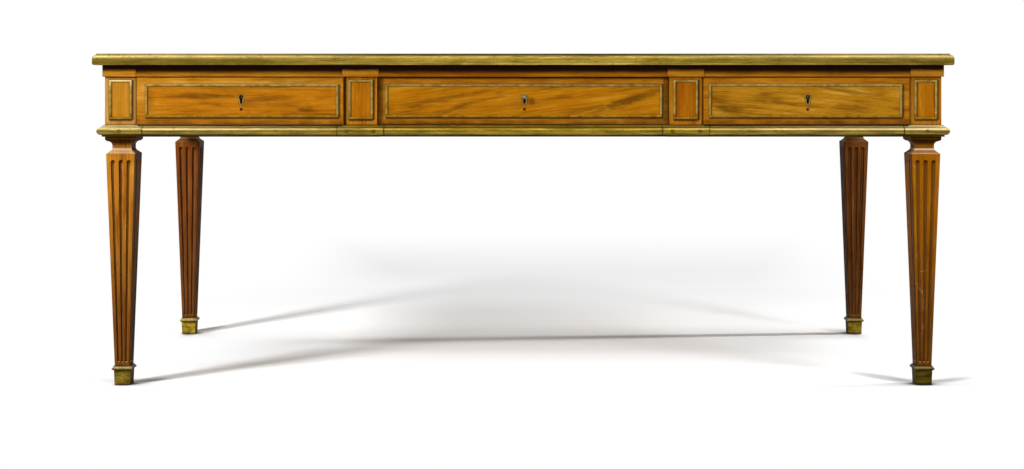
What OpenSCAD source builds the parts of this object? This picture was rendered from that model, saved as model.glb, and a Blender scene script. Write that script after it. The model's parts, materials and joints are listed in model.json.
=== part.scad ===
// Flat-topped writing desk with three frieze drawers on four fluted square legs.
// Units are millimetres. The origin is on the floor under the centre of the desk,
// +X is to the right, +Y is to the back and +Z is up. The drawers open towards -Y.

/* [Overall] */
// Height of the writing surface above the floor
desk_height = 768; // [740:1:800]
// Width over the outer faces of the corner posts
carcass_w = 1930; // [1800:1:2200]
// Depth over the outer faces of the corner posts
carcass_d = 856; // [800:1:1000]

/* [Top] */
// Thickness of the top board and height of its brass edge
top_t = 26.5; // [24:0.5:34]
// How far the brass edge stands out past the corner posts
top_overhang = 24; // [20:1:40]
// How far the top board itself stands out past the corner posts
board_overhang = 8; // [2:1:12]
// Width of the wooden border around the leather
leather_border = 62; // [30:1:120]
// Thickness of the leather and depth of its recess
leather_t = 1.5; // [1:0.5:3]

/* [Frieze] */
// Side of the square corner posts
post_w = 72; // [66:1:84]
// Width of the two posts between the drawers
stile_w = 76; // [60:1:100]
// Width of the opening for the middle drawer
centre_bay_w = 674; // [560:1:760]
// Height of the rail above the drawers
upper_rail_h = 26.5; // [22:0.5:34]
// Height of the drawer openings
opening_h = 111.5; // [100:0.5:130]
// Height of the rail below the drawers and of its brass moulding
lower_rail_h = 27; // [26:0.5:34]
// Thickness of the posts between the drawers
stile_t = 28; // [24:1:40]
// How far the bays of the lower rail lie behind the posts at the sides
side_recess = 3; // [1:0.5:5]
// How far the middle bay of the lower rail lies behind the posts
centre_recess = 8; // [6:0.5:11]
// How far the blocks over the posts stand out past them
cap_proud = 5; // [4:0.5:7]
// How far the upper rail stands out past the posts between those blocks
rail_proud = 3.5; // [1:0.5:3.5]
// How far the blocks over the inner posts are wider than these at each side
cap_side = 4; // [2:0.5:8]

/* [Lower moulding] */
// How far the rounded moulding stands out
moulding_proud = 16; // [13:0.5:18]
// Radius of its round
moulding_r = 9; // [7:0.5:9]
// Height of the small square under the round
moulding_foot_h = 4; // [3:0.5:5]
// How far the small square stands out
moulding_foot_proud = 6; // [4:0.5:7]
// How far the top edge of the moulding stands out
moulding_lip = 4; // [2:0.5:5]
// Height of that edge
moulding_lip_h = 1; // [0.5:0.5:2]

/* [Legs] */
// Height of the straight block under the moulding
block_h = 7.5; // [5:0.5:12]
// Width of the neck
neck_w = 44.5; // [40:0.5:52]
// Height from the moulding down to the top of the shaft
neck_h = 40; // [38:0.5:56]
// Flat ledge under the straight block
neck_ledge = 1; // [0.5:0.5:2]
// Bevel between that ledge and the hollow of the neck
neck_bevel = 3; // [1:0.5:4]
// Height of the flare that widens the neck to the shaft
flare_h = 12; // [8:0.5:18]
// Height of its steep upper part
flare_start_h = 4; // [2:0.5:6]
// How far that part widens the neck at each side
flare_start = 2; // [1:0.5:4]
// Bevel along the top edge of the shaft
shaft_bevel = 1.5; // [0.5:0.5:3]
// Width of the shaft at its top
shaft_top_w = 68; // [60:0.5:72]
// Width of the shaft where it enters the brass shoe
shaft_foot_w = 35.5; // [32:0.5:44]
// Distance from the top of the shaft to the round tops of the flutes
flute_drop = 14; // [8:0.5:30]
// Height of the lower ends of the flutes above the brass shoe
flute_rise = 9; // [5:0.5:30]
// Distance between flutes at their tops
flute_pitch_top = 18.4; // [14:0.1:20]
// Distance between flutes at their lower ends
flute_pitch_foot = 9; // [7:0.1:11]
// Width of a flute at its top
flute_w_top = 10; // [7:0.5:12]
// Width of a flute at its lower end
flute_w_foot = 5; // [3:0.5:6]

/* [Brass shoes] */
// Height of a shoe
sabot_h = 44.5; // [36:0.5:60]
// Width of the shoe at the floor
sabot_foot_w = 36; // [35:0.5:42]
// Width of the shoe just under its collar
sabot_neck_w = 38.5; // [38:0.5:48]
// Width of the collar
collar_w = 47; // [44:0.5:54]
// Height of the collar
collar_h = 10.5; // [8:0.5:14]
// How far the collar grows out at once from the shoe
collar_step = 3; // [2:0.5:4]
// Thickness of the shoe's upper rim
sabot_rim = 2.6; // [2:0.1:3.5]
// Height of that rim
sabot_rim_h = 1.5; // [1:0.5:3]
// Thickness of the shoe under the leg
sabot_floor_t = 3; // [2:0.5:5]
// Clearance between the shoe and the leg
sabot_gap = 0.1; // [0.05:0.05:0.3]

/* [Brass frames] */
// Width of the brass strip around the panels
strip_w = 5.5; // [4:0.5:7]
// Radius of the round face of the strip
strip_r = 3.05; // [3:0.05:4]
// How far the strip stands out
strip_proud = 2.6; // [1.8:0.1:3]
// Width of the strip frame left free on a post at each side
post_margin = 9.5; // [6:0.5:14]
// Distance from the opening's top to the frame on a post
post_margin_top = 7; // [4:0.5:14]
// Distance from the opening's bottom to the frame on a post
post_margin_foot = 12.5; // [6:0.5:18]
// Distance from the edges of a drawer front to its frame
drawer_margin = 17; // [10:0.5:24]
// How far the frame of the left drawer sits to the right of the front's middle
frame_shift_left = 4.5; // [-5:0.5:5]
// How far the frame of the middle drawer sits to the right of the front's middle
frame_shift_centre = 1.5; // [-5:0.5:5]
// How far the frame of the right drawer sits to the right of the front's middle
frame_shift_right = -2; // [-5:0.5:5]

/* [Drawers] */
// Thickness of a drawer front
front_t = 20; // [20:0.5:26]
// How far the outer drawer fronts stand out past the posts
side_front_proud = 4; // [2:0.5:5]
// How far the middle drawer front lies behind the posts
centre_front_back = 5.5; // [2:0.5:8]
// Gap between a drawer front and its opening
front_gap = 0.7; // [0.5:0.1:1.5]
// Gap under the drawer sides and beside the stops and bolts
slide_gap = 0.3; // [0.2:0.1:0.6]
// Length of a drawer from its front face to its back
drawer_l = 640; // [500:1:660]
// Thickness of the drawer sides and backs
side_t = 10; // [8:0.5:14]
// Height of the drawer sides
side_h = 92; // [70:1:96]
// Thickness of the drawer bottoms
bottom_t = 8; // [6:0.5:10]
// Height of the drawer bottom above the lower edge of the sides
bottom_rise = 5; // [4:0.5:12]
// Depth of the grooves that hold the bottom
groove_d = 5; // [3:0.5:6]
// How far the back stays below the sides
back_drop = 6; // [2:0.5:12]
// How far back and bottom stay inside the rear ends of the sides
back_inset = 1; // [0.5:0.5:4]
// Wood left in front of the drawer sides where they lap into the front
lap_t = 8; // [6:0.5:10]

/* [Locks] */
// Height of the round of the keyhole above the middle of the front
key_rise = 8.5; // [0:0.5:12]
// Distance of the keyholes to the right of the drawer's middle
key_shift = 3; // [-6:0.5:6]
// Radius of the round of the keyhole
key_r = 5.2; // [4.5:0.1:6]
// Width of the keyhole's slot
key_slot_w = 5.6; // [5:0.1:7]
// Length of the slot below the middle of the round
key_slot_l = 15.5; // [12:0.5:20]
// Width of the brass rim around the keyhole
escutcheon_rim = 2.3; // [1.5:0.1:3]
// How far the rim stands out
escutcheon_proud = 1.2; // [0.5:0.1:2]
// Depth of the rim in the wood
escutcheon_d = 4; // [2:0.5:6]
// Distance of the small drilled hole below the round of the keyhole
peg_hole_drop = 28; // [24:0.5:36]
// Diameter of the small drilled hole
peg_hole_dia = 4.4; // [2:0.1:6]
// Depth of the small drilled hole
peg_hole_d = 5; // [2:0.5:7]
// Width of the lock case
lock_w = 60; // [44:1:80]
// Thickness of the lock case
lock_t = 12; // [11:0.5:13]
// Thickness of its back plate
lock_plate_t = 3; // [2:0.5:4]
// Radius of the pins in the keyholes of the outer drawers
side_pin_r = 3.2; // [2.5:0.1:4]
// How far the pin of the left drawer lies behind the face of its front
left_pin_back = 2.5; // [0:0.5:5]
// How far the pin of the right drawer lies behind the face of its front
right_pin_back = 1; // [0:0.5:5]
// Radius of the pin in the keyhole of the middle drawer
centre_pin_r = 4.5; // [3:0.1:4.8]
// How far the pin of the middle drawer stands out from the face of its front
centre_pin_proud = 6; // [0:0.5:8]
// Height of the lock case below the round of the keyhole
lock_below = 25; // [20:0.5:34]
// Width of the bolt
bolt_w = 27.4; // [16:0.2:34]
// Thickness of the bolt
bolt_t = 5.4; // [3:0.2:6]
// Height of the bolt
bolt_h = 22; // [16:0.5:26]
// How far the bolt rises when the key turns
bolt_travel = 7; // [4:0.5:9]
// Room around the bolt in the rail
mortise_gap = 1.2; // [0.5:0.1:2]

/* [Inner frame] */
// Thickness of the side aprons behind the bays of the rail
apron_t = 25; // [20:0.5:30]
// Thickness of the boards between the drawers
partition_t = 28; // [20:1:34]
// Height of the runners
runner_h = 20; // [15:0.5:24]
// How far a runner reaches under a drawer
runner_reach = 30; // [20:1:50]
// Height of the guides beside the drawers
guide_h = 22; // [12:0.5:40]
// Length of a drawer stop
stop_l = 18; // [10:0.5:40]
// Height of a drawer stop
stop_h = 16; // [10:0.5:30]
// Length of the tenons
tenon_l = 20; // [10:0.5:26]
// Thickness of the tenons
tenon_t = 10; // [6:0.5:14]
// Distance of the tenons of the aprons from their upper and lower edges
tenon_shoulder = 20; // [10:1:40]
// Distance of the tenons of the lower rails from their upper and lower edges
lower_tenon_shoulder = 4; // [2:0.5:6]
// Distance of the tenons of the upper rails below the top board
upper_tenon_shoulder = 8; // [4:0.5:12]
// Width of the dark line between the side aprons' raised panel and upper band
apron_groove = 0.7; // [0.5:0.1:2]

/* [Fasteners] */
// Diameter of the screws in the lower moulding
pin_dia = 5.6; // [4:0.1:7]
// Length of the screws in the lower moulding
pin_l = 34; // [24:0.5:44]
// How deep their heads lie in the moulding
pin_sunk = 0.6; // [0.2:0.1:1]
// Distance of the two screws under an inner post from its middle
pin_offset = 31; // [18:0.5:34]
// Diameter of the screws that hold the top board
screw_dia = 5; // [4:0.1:6]
// Diameter of their heads
screw_head_dia = 9; // [8:0.1:11]
// Height of their heads
screw_head_h = 4; // [3:0.5:6]
// Length of these screws
screw_l = 36; // [32:0.5:40]
// How deep their heads are sunk
screw_sink = 2; // [1:0.5:4]
// Distance from the posts to the first and last of these screws
screw_inset = 60; // [30:1:150]
// Clearance around a screw
screw_gap = 0.1; // [0.1:0.05:0.3]

/* [Hidden] */
// Small overlap that keeps cuts clean
eps = 1;
// A length beyond the whole desk
far = 4000;
// Fineness of round surfaces
smooth = 48;

// Half sizes of the carcass
half_w = carcass_w / 2;
half_d = carcass_d / 2;

// Heights of the horizontal divisions
z_board = desk_height - top_t;
z_open_top = z_board - upper_rail_h;
z_open_foot = z_open_top - opening_h;
z_moulding = z_open_foot - lower_rail_h;
z_shaft = z_moulding - neck_h;
z_open_mid = (z_open_top + z_open_foot) / 2;

// Places of the bays and inner posts along X
post_in = half_w - post_w;
stile_in = centre_bay_w / 2;
stile_out = stile_in + stile_w;
stile_mid = stile_in + stile_w / 2;
side_bay_w = post_in - stile_out;
side_bay_mid = (post_in + stile_out) / 2;

// Inner faces of the rails and posts along Y
frame_in = half_d - post_w;
// Inner faces of the side aprons along X
apron_in = half_w - side_recess - apron_t;

// Place of the leg's axis along X and Y
leg_x = half_w - post_w / 2;
leg_y = half_d - post_w / 2;

// Taper of the shaft: loss of half width for each millimetre of height
shaft_taper = (shaft_top_w - shaft_foot_w) / 2 / (z_shaft - sabot_h);
function shaft_half(z) = shaft_top_w / 2 - (z_shaft - z) * shaft_taper;

// Half sizes of the leather
leather_half_w = half_w + board_overhang - leather_border;
leather_half_d = half_d + board_overhang - leather_border;

// Heights of the brass frames on the posts and on the drawer fronts
post_frame_low = z_open_foot + post_margin_foot;
post_frame_high = z_open_top - post_margin_top;
panel_frame_low = z_open_foot + drawer_margin;
panel_frame_high = z_open_top - drawer_margin;

// Heights of a drawer front's edges, of the lower edge of its sides, of the round
// of its keyhole and of the space for the bolt
front_low = z_open_foot + front_gap;
front_high = z_open_top - front_gap;
side_low = z_open_foot + slide_gap;
key_z = z_open_mid + key_rise;
bolt_floor = front_high - bolt_h - 2 * slide_gap;

// Where the sloping top of the lower moulding leaves its round, in shares of the radius
wash_out = 0.28;
wash_up = 0.9;
// Where the upright face of a shoe's collar begins and ends, in shares of its height
collar_low = 0.3;
collar_high = 0.55;
// Dome of a lock pin: its centre behind the shoulder and its radius, in pin radii
dome_back = 0.75;
dome_r = 1.25;

// The six places beside the drawers: outer face of the guide, edge of the opening,
// and the side on which the drawer lies
edges = [
    [-apron_in, -post_in, 1], [-stile_mid - partition_t / 2, -stile_out, -1],
    [-stile_mid + partition_t / 2, -stile_in, 1], [stile_mid - partition_t / 2, stile_in, -1],
    [stile_mid + partition_t / 2, stile_out, 1], [apron_in, post_in, -1]];

// For each drawer: middle, width of the opening, front face inwards of the posts,
// shift of the brass frame, radius of the lock pin, how far the pin stands out
LEFT = 0;
CENTRE = 1;
RIGHT = 2;
bay_mid = [-side_bay_mid, 0, side_bay_mid];
bay_w = [side_bay_w, centre_bay_w, side_bay_w];
bay_face = [-side_front_proud, centre_front_back, -side_front_proud];
frame_shift = [frame_shift_left, frame_shift_centre, frame_shift_right];
lock_pin_r = [side_pin_r, centre_pin_r, side_pin_r];
lock_pin_proud = [-left_pin_back, centre_pin_proud, -right_pin_back];

MAHOGANY = "#B5702A";
DARK_MAHOGANY = "#8A4A22";
BRASS = "#A8933F";
OAK = "#B79A6B";
LEATHER = "#4A2B1C";
STEEL = "#8C8C88";

// Box from its lowest to its highest corner
module box(low, high) {
    translate(low) cube(high - low);
}

// Box on the front: x0 to x1, depth d0 to d1 behind the faces of the posts, z0 to z1
module front_box(x0, x1, d0, d1, z0, z1) {
    box([x0, -half_d + d0, z0], [x1, -half_d + d1, z1]);
}

// Draws its children on the front and again, turned, on the back
module front_and_back() {
    children();
    rotate([0, 0, 180]) children();
}

// Draws its children at the right and mirrored at the left
module right_and_left() {
    children();
    mirror([1, 0, 0]) children();
}

// Moves what is drawn at the back right to the corner with these signs of X and Y
module in_corner(sx, sy) {
    mirror([sx < 0 ? 1 : 0, 0, 0]) mirror([0, sy < 0 ? 1 : 0, 0]) children();
}

// Draws its children in all four corners
module in_corners() {
    for (sx = [-1, 1], sy = [-1, 1]) in_corner(sx, sy) children();
}

// Outline of the lower moulding: x is how far it stands out, y is the height
module moulding_outline() {
    round_x = moulding_proud - moulding_r;
    round_z = moulding_foot_h + moulding_r;
    wash_z = lower_rail_h - moulding_lip_h;
    wash_x = round_x + moulding_r * wash_out;
    wash_low = round_z + moulding_r * wash_up;
    polygon([
        [-eps, 0], [moulding_foot_proud, 0], [moulding_foot_proud, moulding_foot_h],
        [round_x, moulding_foot_h], [round_x, round_z], [wash_x, wash_low],
        [moulding_lip, wash_z], [moulding_lip, lower_rail_h], [-eps, lower_rail_h]]);
    translate([round_x, round_z]) circle(r = moulding_r, $fn = smooth);
}

// Outline of the brass edge of the top: x is how far it stands out, y is the height
module edge_outline() {
    bead_h = 2.6;
    bead_in = 7.5;
    upper_r = 9;
    lower_r = 4;
    upper_z = top_t - bead_h - upper_r;
    polygon([
        [board_overhang, 0], [top_overhang - lower_r, 0], [top_overhang - lower_r, lower_r],
        [top_overhang, lower_r], [top_overhang, upper_z], [top_overhang - upper_r, upper_z],
        [top_overhang - upper_r, top_t - bead_h], [top_overhang - bead_in, top_t - bead_h],
        [top_overhang - bead_in, top_t], [board_overhang, top_t]]);
    translate([top_overhang - upper_r, upper_z]) circle(r = upper_r, $fn = smooth);
    translate([top_overhang - lower_r, lower_r]) circle(r = lower_r, $fn = smooth);
}

// Extrudes an outline along X on the face of the back, from x0 to x1
module run_back(x0, x1, face, z) {
    translate([x0, face, z])
        rotate([90, 0, 90])
            linear_extrude(height = x1 - x0) children();
}

// The lower moulding on all four sides of a block, from low to high in plan
module moulded_block(low, high) {
    intersection() {
        translate([0, far / 2, z_moulding])
            rotate([90, 0, 0]) linear_extrude(height = far) both_edges(low[0], high[0]);
        translate([-far / 2, 0, z_moulding])
            rotate([90, 0, 90]) linear_extrude(height = far) both_edges(low[1], high[1]);
    }
}

// Section through such a block
module both_edges(a, b) {
    translate([a, 0]) square([b - a, lower_rail_h]);
    translate([b, 0]) moulding_outline();
    translate([a, 0]) mirror([1, 0]) moulding_outline();
}

// Everything behind the brass of the lower rail, seen from above
module rail_plan() {
    difference() {
        square([carcass_w - 2 * side_recess, carcass_d - 2 * side_recess], center = true);
        for (s = [-1, 1])
            translate([-stile_in, s * (half_d - centre_recess / 2) - centre_recess / 2])
                square([centre_bay_w, centre_recess]);
    }
    for (sx = [-1, 1], sy = [-1, 1]) {
        translate([sx * leg_x - post_w / 2, sy * leg_y - post_w / 2]) square(post_w);
        translate([sx * stile_mid - stile_w / 2, sy * (half_d - stile_t / 2) - stile_t / 2])
            square([stile_w, stile_t]);
    }
}

module rail_core() {
    translate([0, 0, z_moulding - eps])
        linear_extrude(height = lower_rail_h + 2 * eps) rail_plan();
}

// Block of moulding around the right back post and around the right back inner post
module corner_block() {
    moulded_block([post_in, frame_in], [half_w, half_d]);
}

module stile_block() {
    moulded_block([stile_in, half_d - stile_t], [stile_out, half_d]);
}

// Legs

// Closes a line of points on the right with its mirror image on the left
function both_sides(right) = concat(right,
    [for (i = [len(right) - 1:-1:0]) [-right[i][0], right[i][1]]]);

// Outline of a leg from the top of its post to the floor of its shoe: x is the half
// width, y is the height
module leg_outline() {
    block_low = z_moulding - block_h;
    cove_r = (post_w - neck_w) / 2 - neck_ledge - neck_bevel;
    cove_x = neck_w / 2 + cove_r;
    cove_z = block_low - neck_bevel - cove_r;
    flare_z = z_shaft + flare_h;
    difference() {
        polygon(both_sides([
            [post_w / 2, z_board], [post_w / 2, block_low], [post_w / 2 - neck_ledge, block_low],
            [cove_x, block_low - neck_bevel], [cove_x, cove_z], [neck_w / 2, cove_z],
            [neck_w / 2, flare_z], [neck_w / 2 + flare_start, flare_z - flare_start_h],
            [shaft_top_w / 2 - shaft_bevel, z_shaft + shaft_bevel], [shaft_top_w / 2, z_shaft],
            [shaft_half(sabot_floor_t), sabot_floor_t]]));
        for (s = [-1, 1]) translate([s * cove_x, cove_z]) circle(r = cove_r, $fn = smooth);
    }
}

// Turns an outline into a square solid with that outline on all four sides
module square_turned() {
    intersection() {
        upright() children();
        rotate([0, 0, 90]) upright() children();
    }
}

module upright() {
    translate([0, post_w / 2, 0]) rotate([90, 0, 0]) linear_extrude(height = post_w) children();
}

// Round rod between two points
module rod(from, to, r_from, r_to) {
    run = to - from;
    length = norm(run);
    translate(from)
        rotate([0, acos(run[2] / length), atan2(run[1], run[0])])
            cylinder(h = length, r1 = r_from, r2 = r_to, $fn = smooth);
}

// Three flutes on one face of the shaft
module flutes() {
    r_top = flute_w_top / 2;
    r_foot = flute_w_foot / 2;
    end_swell = 0.3;
    z_high = z_shaft - flute_drop - r_top;
    z_low = sabot_h + flute_rise + r_foot;
    for (i = [-1, 0, 1]) {
        high = [i * flute_pitch_top, -shaft_half(z_high), z_high];
        low = [i * flute_pitch_foot, -shaft_half(z_low), z_low];
        rod(high, low, r_top, r_foot);
        translate(high) sphere(r = r_top + end_swell, $fn = smooth);
        translate(low) sphere(r = r_foot + end_swell, $fn = smooth);
    }
}

// One leg around its own axis, with the mortises of a back right corner
module leg_body() {
    difference() {
        square_turned() leg_outline();
        for (turn = [0:90:270]) rotate([0, 0, turn]) flutes();
    }
}

module leg(sx, sy) {
    color(MAHOGANY) difference() {
        translate([sx * leg_x, sy * leg_y, 0]) leg_body();
        in_corner(sx, sy) leg_mortises();
        moulding_screw_holes();
    }
}

// Tenons of the rails and aprons in the right back post
module leg_mortises() {
    lower_tenon();
    upper_tenon();
    apron_tenon();
}

module lower_tenon() {
    box([post_in - eps, leg_y - tenon_t, z_moulding + lower_tenon_shoulder],
        [post_in + tenon_l, leg_y + tenon_t, z_open_foot - lower_tenon_shoulder]);
}

module upper_tenon() {
    box([post_in - eps, leg_y - tenon_t, z_open_top],
        [post_in + tenon_l, leg_y + tenon_t, z_board - upper_tenon_shoulder]);
}

module apron_tenon() {
    mid = apron_in + apron_t / 2;
    box([mid - tenon_t / 2, frame_in - eps, z_moulding + tenon_shoulder],
        [mid + tenon_t / 2, frame_in + tenon_l, z_board - tenon_shoulder]);
}

// Brass shoes

module sabot(sx, sy) {
    collar_z = sabot_h - collar_h;
    rim = shaft_foot_w / 2 + sabot_rim;
    color(BRASS) translate([sx * leg_x, sy * leg_y, 0]) difference() {
        square_turned() polygon(both_sides([
            [sabot_foot_w / 2, 0], [sabot_neck_w / 2, collar_z],
            [collar_w / 2 - collar_step, collar_z + eps],
            [collar_w / 2, collar_z + collar_h * collar_low],
            [collar_w / 2, collar_z + collar_h * collar_high],
            [rim, sabot_h - sabot_rim_h], [rim, sabot_h]]));
        square_turned() polygon(both_sides([
            [shaft_half(z_shaft) + sabot_gap, z_shaft],
            [shaft_half(sabot_floor_t) + sabot_gap, sabot_floor_t]]));
    }
}

// Rails

// Upper rail of the front, with the stepped face behind the blocks over the posts
module upper_rail() {
    front_box(-post_in, post_in, 0, post_w, z_open_top, z_board);
    for (s = [-1, 1])
        front_box(s * side_bay_mid - side_bay_w / 2 + (s < 0 ? 0 : cap_side),
            s * side_bay_mid + side_bay_w / 2 - (s < 0 ? cap_side : 0),
            -rail_proud, 0, z_open_top, z_board);
    front_box(-stile_in + cap_side, stile_in - cap_side, -rail_proud, 0, z_open_top, z_board);
    rotate([0, 0, 180]) right_and_left() upper_tenon();
}

// Lower rail of the front, stepped back in the bays
module lower_rail() {
    intersection() {
        front_box(-post_in, post_in, 0, post_w, z_moulding, z_open_foot);
        rail_core();
    }
    rotate([0, 0, 180]) right_and_left() lower_tenon();
}

module front_upper_rail() {
    color(MAHOGANY) difference() {
        upper_rail();
        for (i = [LEFT, CENTRE, RIGHT]) bolt_mortise(i);
    }
}

module back_upper_rail() {
    color(MAHOGANY) rotate([0, 0, 180]) upper_rail();
}

module front_lower_rail() {
    color(MAHOGANY) difference() {
        lower_rail();
        moulding_screw_holes();
    }
}

module back_lower_rail() {
    color(MAHOGANY) difference() {
        rotate([0, 0, 180]) lower_rail();
        moulding_screw_holes();
    }
}

// Inner posts of the front and back
module stile(s) {
    front_box(s * stile_mid - stile_w / 2, s * stile_mid + stile_w / 2,
        0, stile_t, z_open_foot, z_open_top);
}

module stile_front_left() {
    color(MAHOGANY) stile(-1);
}

module stile_front_right() {
    color(MAHOGANY) stile(1);
}

module back_stiles() {
    color(MAHOGANY) rotate([0, 0, 180]) {
        stile(-1);
        stile(1);
    }
}

// Fixed panels of the back, which repeat the drawer fronts
module back_panels() {
    color(MAHOGANY) rotate([0, 0, 180])
        for (i = [LEFT, CENTRE, RIGHT])
            front_box(bay_mid[i] - bay_w[i] / 2, bay_mid[i] + bay_w[i] / 2,
                bay_face[i], bay_face[i] + front_t, z_open_foot, z_open_top);
}

// Right side apron: the board, its upper band and its raised panel
module side_apron() {
    box([apron_in, -frame_in, z_moulding], [half_w - side_recess, frame_in, z_board]);
    box([apron_in, -frame_in, z_open_foot],
        [half_w + side_front_proud, frame_in, z_open_top - apron_groove]);
    box([apron_in, -frame_in, z_open_top], [half_w + rail_proud, frame_in, z_board]);
    for (s = [-1, 1]) in_corner(1, s) apron_tenon();
}

module side_apron_right() {
    color(MAHOGANY) difference() {
        side_apron();
        top_screw_holes();
    }
}

module side_apron_left() {
    color(MAHOGANY) difference() {
        mirror([1, 0, 0]) side_apron();
        top_screw_holes();
    }
}

// Blocks over the posts
module rail_caps() {
    color(MAHOGANY) {
        in_corners() difference() {
            box([post_in, frame_in, z_open_top],
                [half_w + cap_proud, half_d + cap_proud, z_board]);
            box([post_in - eps, frame_in - eps, z_open_top - eps], [half_w, half_d, z_board + eps]);
        }
        front_and_back()
            for (s = [-1, 1])
                front_box(s * stile_mid - stile_w / 2 - cap_side, s * stile_mid + stile_w / 2 + cap_side,
                    -cap_proud, 0, z_open_top, z_board);
    }
}

// Boards between the drawers, behind the inner posts
module partition(s) {
    x0 = s * stile_mid - partition_t / 2;
    x1 = s * stile_mid + partition_t / 2;
    box([x0, -half_d + stile_t, z_open_foot], [x1, half_d - stile_t, z_open_top]);
    box([x0, -frame_in, z_moulding], [x1, frame_in, z_board]);
}

module partition_left() {
    color(OAK) partition(-1);
}

module partition_right() {
    color(OAK) partition(1);
}

// Box from one X to another in any order, over the length between the rails
module lengthwise(xa, xb, z0, z1) {
    box([min(xa, xb), -frame_in, z0], [max(xa, xb), frame_in, z1]);
}

// Runners under the drawer sides, each with the guide that lies on it
module drawer_runners() {
    color(OAK) for (e = edges) {
        lengthwise(e[0], e[1] + e[2] * runner_reach, z_open_foot - runner_h, z_open_foot);
        lengthwise(e[0], e[1], z_open_foot, z_open_foot + guide_h);
    }
}

// Battens above the drawer sides, which also hold the top
module drawer_kickers() {
    color(OAK) difference() {
        for (e = edges) lengthwise(e[0], e[1] + e[2] * runner_reach, z_open_top, z_board);
        top_screw_holes();
    }
}

// Stops on the runners behind the drawers
module drawer_stops() {
    color(OAK) for (i = [0:5]) {
        e = edges[i];
        bay = floor(i / 2);
        y0 = -half_d + bay_face[bay] + drawer_l + slide_gap;
        xa = e[1];
        xb = e[1] + e[2] * runner_reach;
        box([min(xa, xb), y0, z_open_foot], [max(xa, xb), y0 + stop_l, z_open_foot + stop_h]);
    }
}

// Top

module top_board() {
    color(MAHOGANY) difference() {
        box([-half_w - board_overhang, -half_d - board_overhang, z_board],
            [half_w + board_overhang, half_d + board_overhang, desk_height]);
        box([-leather_half_w, -leather_half_d, desk_height - leather_t],
            [leather_half_w, leather_half_d, desk_height + eps]);
        top_screw_holes();
    }
}

module leather_top() {
    color(LEATHER)
        box([-leather_half_w, -leather_half_d, desk_height - leather_t],
            [leather_half_w, leather_half_d, desk_height]);
}

// One mitred length of the brass edge: half its length and the face it lies on
module edge_run(half_l, face) {
    outer_l = half_l + top_overhang;
    outer_y = face + top_overhang;
    width = top_overhang - board_overhang;
    intersection() {
        run_back(-outer_l, outer_l, face, z_board) edge_outline();
        translate([0, 0, z_board - eps])
            linear_extrude(height = top_t + 2 * eps)
                polygon([
                    [-outer_l, outer_y], [outer_l, outer_y],
                    [outer_l - width, outer_y - width], [-outer_l + width, outer_y - width]]);
    }
}

module top_moulding_back() {
    color(BRASS) edge_run(half_w, half_d);
}

module top_moulding_front() {
    color(BRASS) rotate([0, 0, 180]) edge_run(half_w, half_d);
}

module top_moulding_left() {
    color(BRASS) rotate([0, 0, 90]) edge_run(half_d, half_w);
}

module top_moulding_right() {
    color(BRASS) rotate([0, 0, -90]) edge_run(half_d, half_w);
}

// Lower mouldings

module corner_mouldings() {
    color(BRASS) difference() {
        in_corners() difference() {
            corner_block();
            rail_core();
        }
        moulding_screw_holes();
    }
}

module stile_mouldings() {
    color(BRASS) difference() {
        in_corners() difference() {
            stile_block();
            rail_core();
        }
        moulding_screw_holes();
    }
}

// Straight runs of the back: the middle bay and both side bays
module back_runs() {
    run_back(-stile_in, stile_in, half_d - centre_recess, z_moulding) moulding_face();
    right_and_left() run_back(stile_out, post_in, half_d - side_recess, z_moulding) moulding_face();
}

// Outline of the moulding in front of its own face only
module moulding_face() {
    intersection() {
        moulding_outline();
        square([moulding_proud + eps, lower_rail_h]);
    }
}

module bay_mouldings() {
    color(BRASS) difference() {
        union() {
            back_runs();
            rotate([0, 0, 180]) back_runs();
            for (turn = [-90, 90]) rotate([0, 0, turn])
                run_back(-frame_in, frame_in, half_w - side_recess, z_moulding) moulding_face();
        }
        in_corners() {
            corner_block();
            stile_block();
        }
    }
}

// Brass frames

// Round-faced strip frame in the XZ plane facing -Y, from low to high
module strip_frame(low, high) {
    size = high - low;
    translate([low[0], 0, low[1]]) {
        strip(size[0]);
        translate([0, 0, size[1]]) mirror([0, 0, 1]) strip(size[0]);
        rotate([0, -90, 0]) mirror([0, 0, 1]) strip(size[1]);
        translate([size[0], 0, 0]) rotate([0, -90, 0]) strip(size[1]);
    }
}

// One strip from the origin along X, mitred at both ends, its width towards +Z
module strip(length) {
    intersection() {
        rotate([90, 0, 90]) linear_extrude(height = length) intersection() {
            translate([strip_r - strip_proud, strip_w / 2]) circle(r = strip_r, $fn = smooth);
            translate([-strip_proud - eps, 0]) square([strip_proud + eps, strip_w]);
        }
        rotate([90, 0, 0]) translate([0, 0, -eps]) linear_extrude(height = strip_proud + 3 * eps)
            polygon([[0, 0], [length, 0], [length - strip_w, strip_w], [strip_w, strip_w]]);
    }
}

// Frame on a post or inner post of width w around the middle x
module post_frame(x, w) {
    translate([0, -half_d, 0])
        strip_frame([x - w / 2 + post_margin, post_frame_low], [x + w / 2 - post_margin, post_frame_high]);
}

// Frames on all posts, on the side aprons and on the panels of the back
module panel_frames() {
    side_turned = half_w - half_d;
    color(BRASS) {
        front_and_back() {
            for (s = [-1, 1]) {
                post_frame(s * leg_x, post_w);
                post_frame(s * stile_mid, stile_w);
            }
        }
        for (turn = [-90, 90]) rotate([0, 0, turn]) {
            for (s = [-1, 1]) translate([0, -side_turned, 0]) post_frame(s * leg_y, post_w);
            translate([0, -half_w - side_front_proud, 0])
                strip_frame([-frame_in + drawer_margin, panel_frame_low],
                    [frame_in - drawer_margin, panel_frame_high]);
        }
        rotate([0, 0, 180]) for (i = [LEFT, CENTRE, RIGHT]) bay_frame(i, 0);
    }
}

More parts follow.
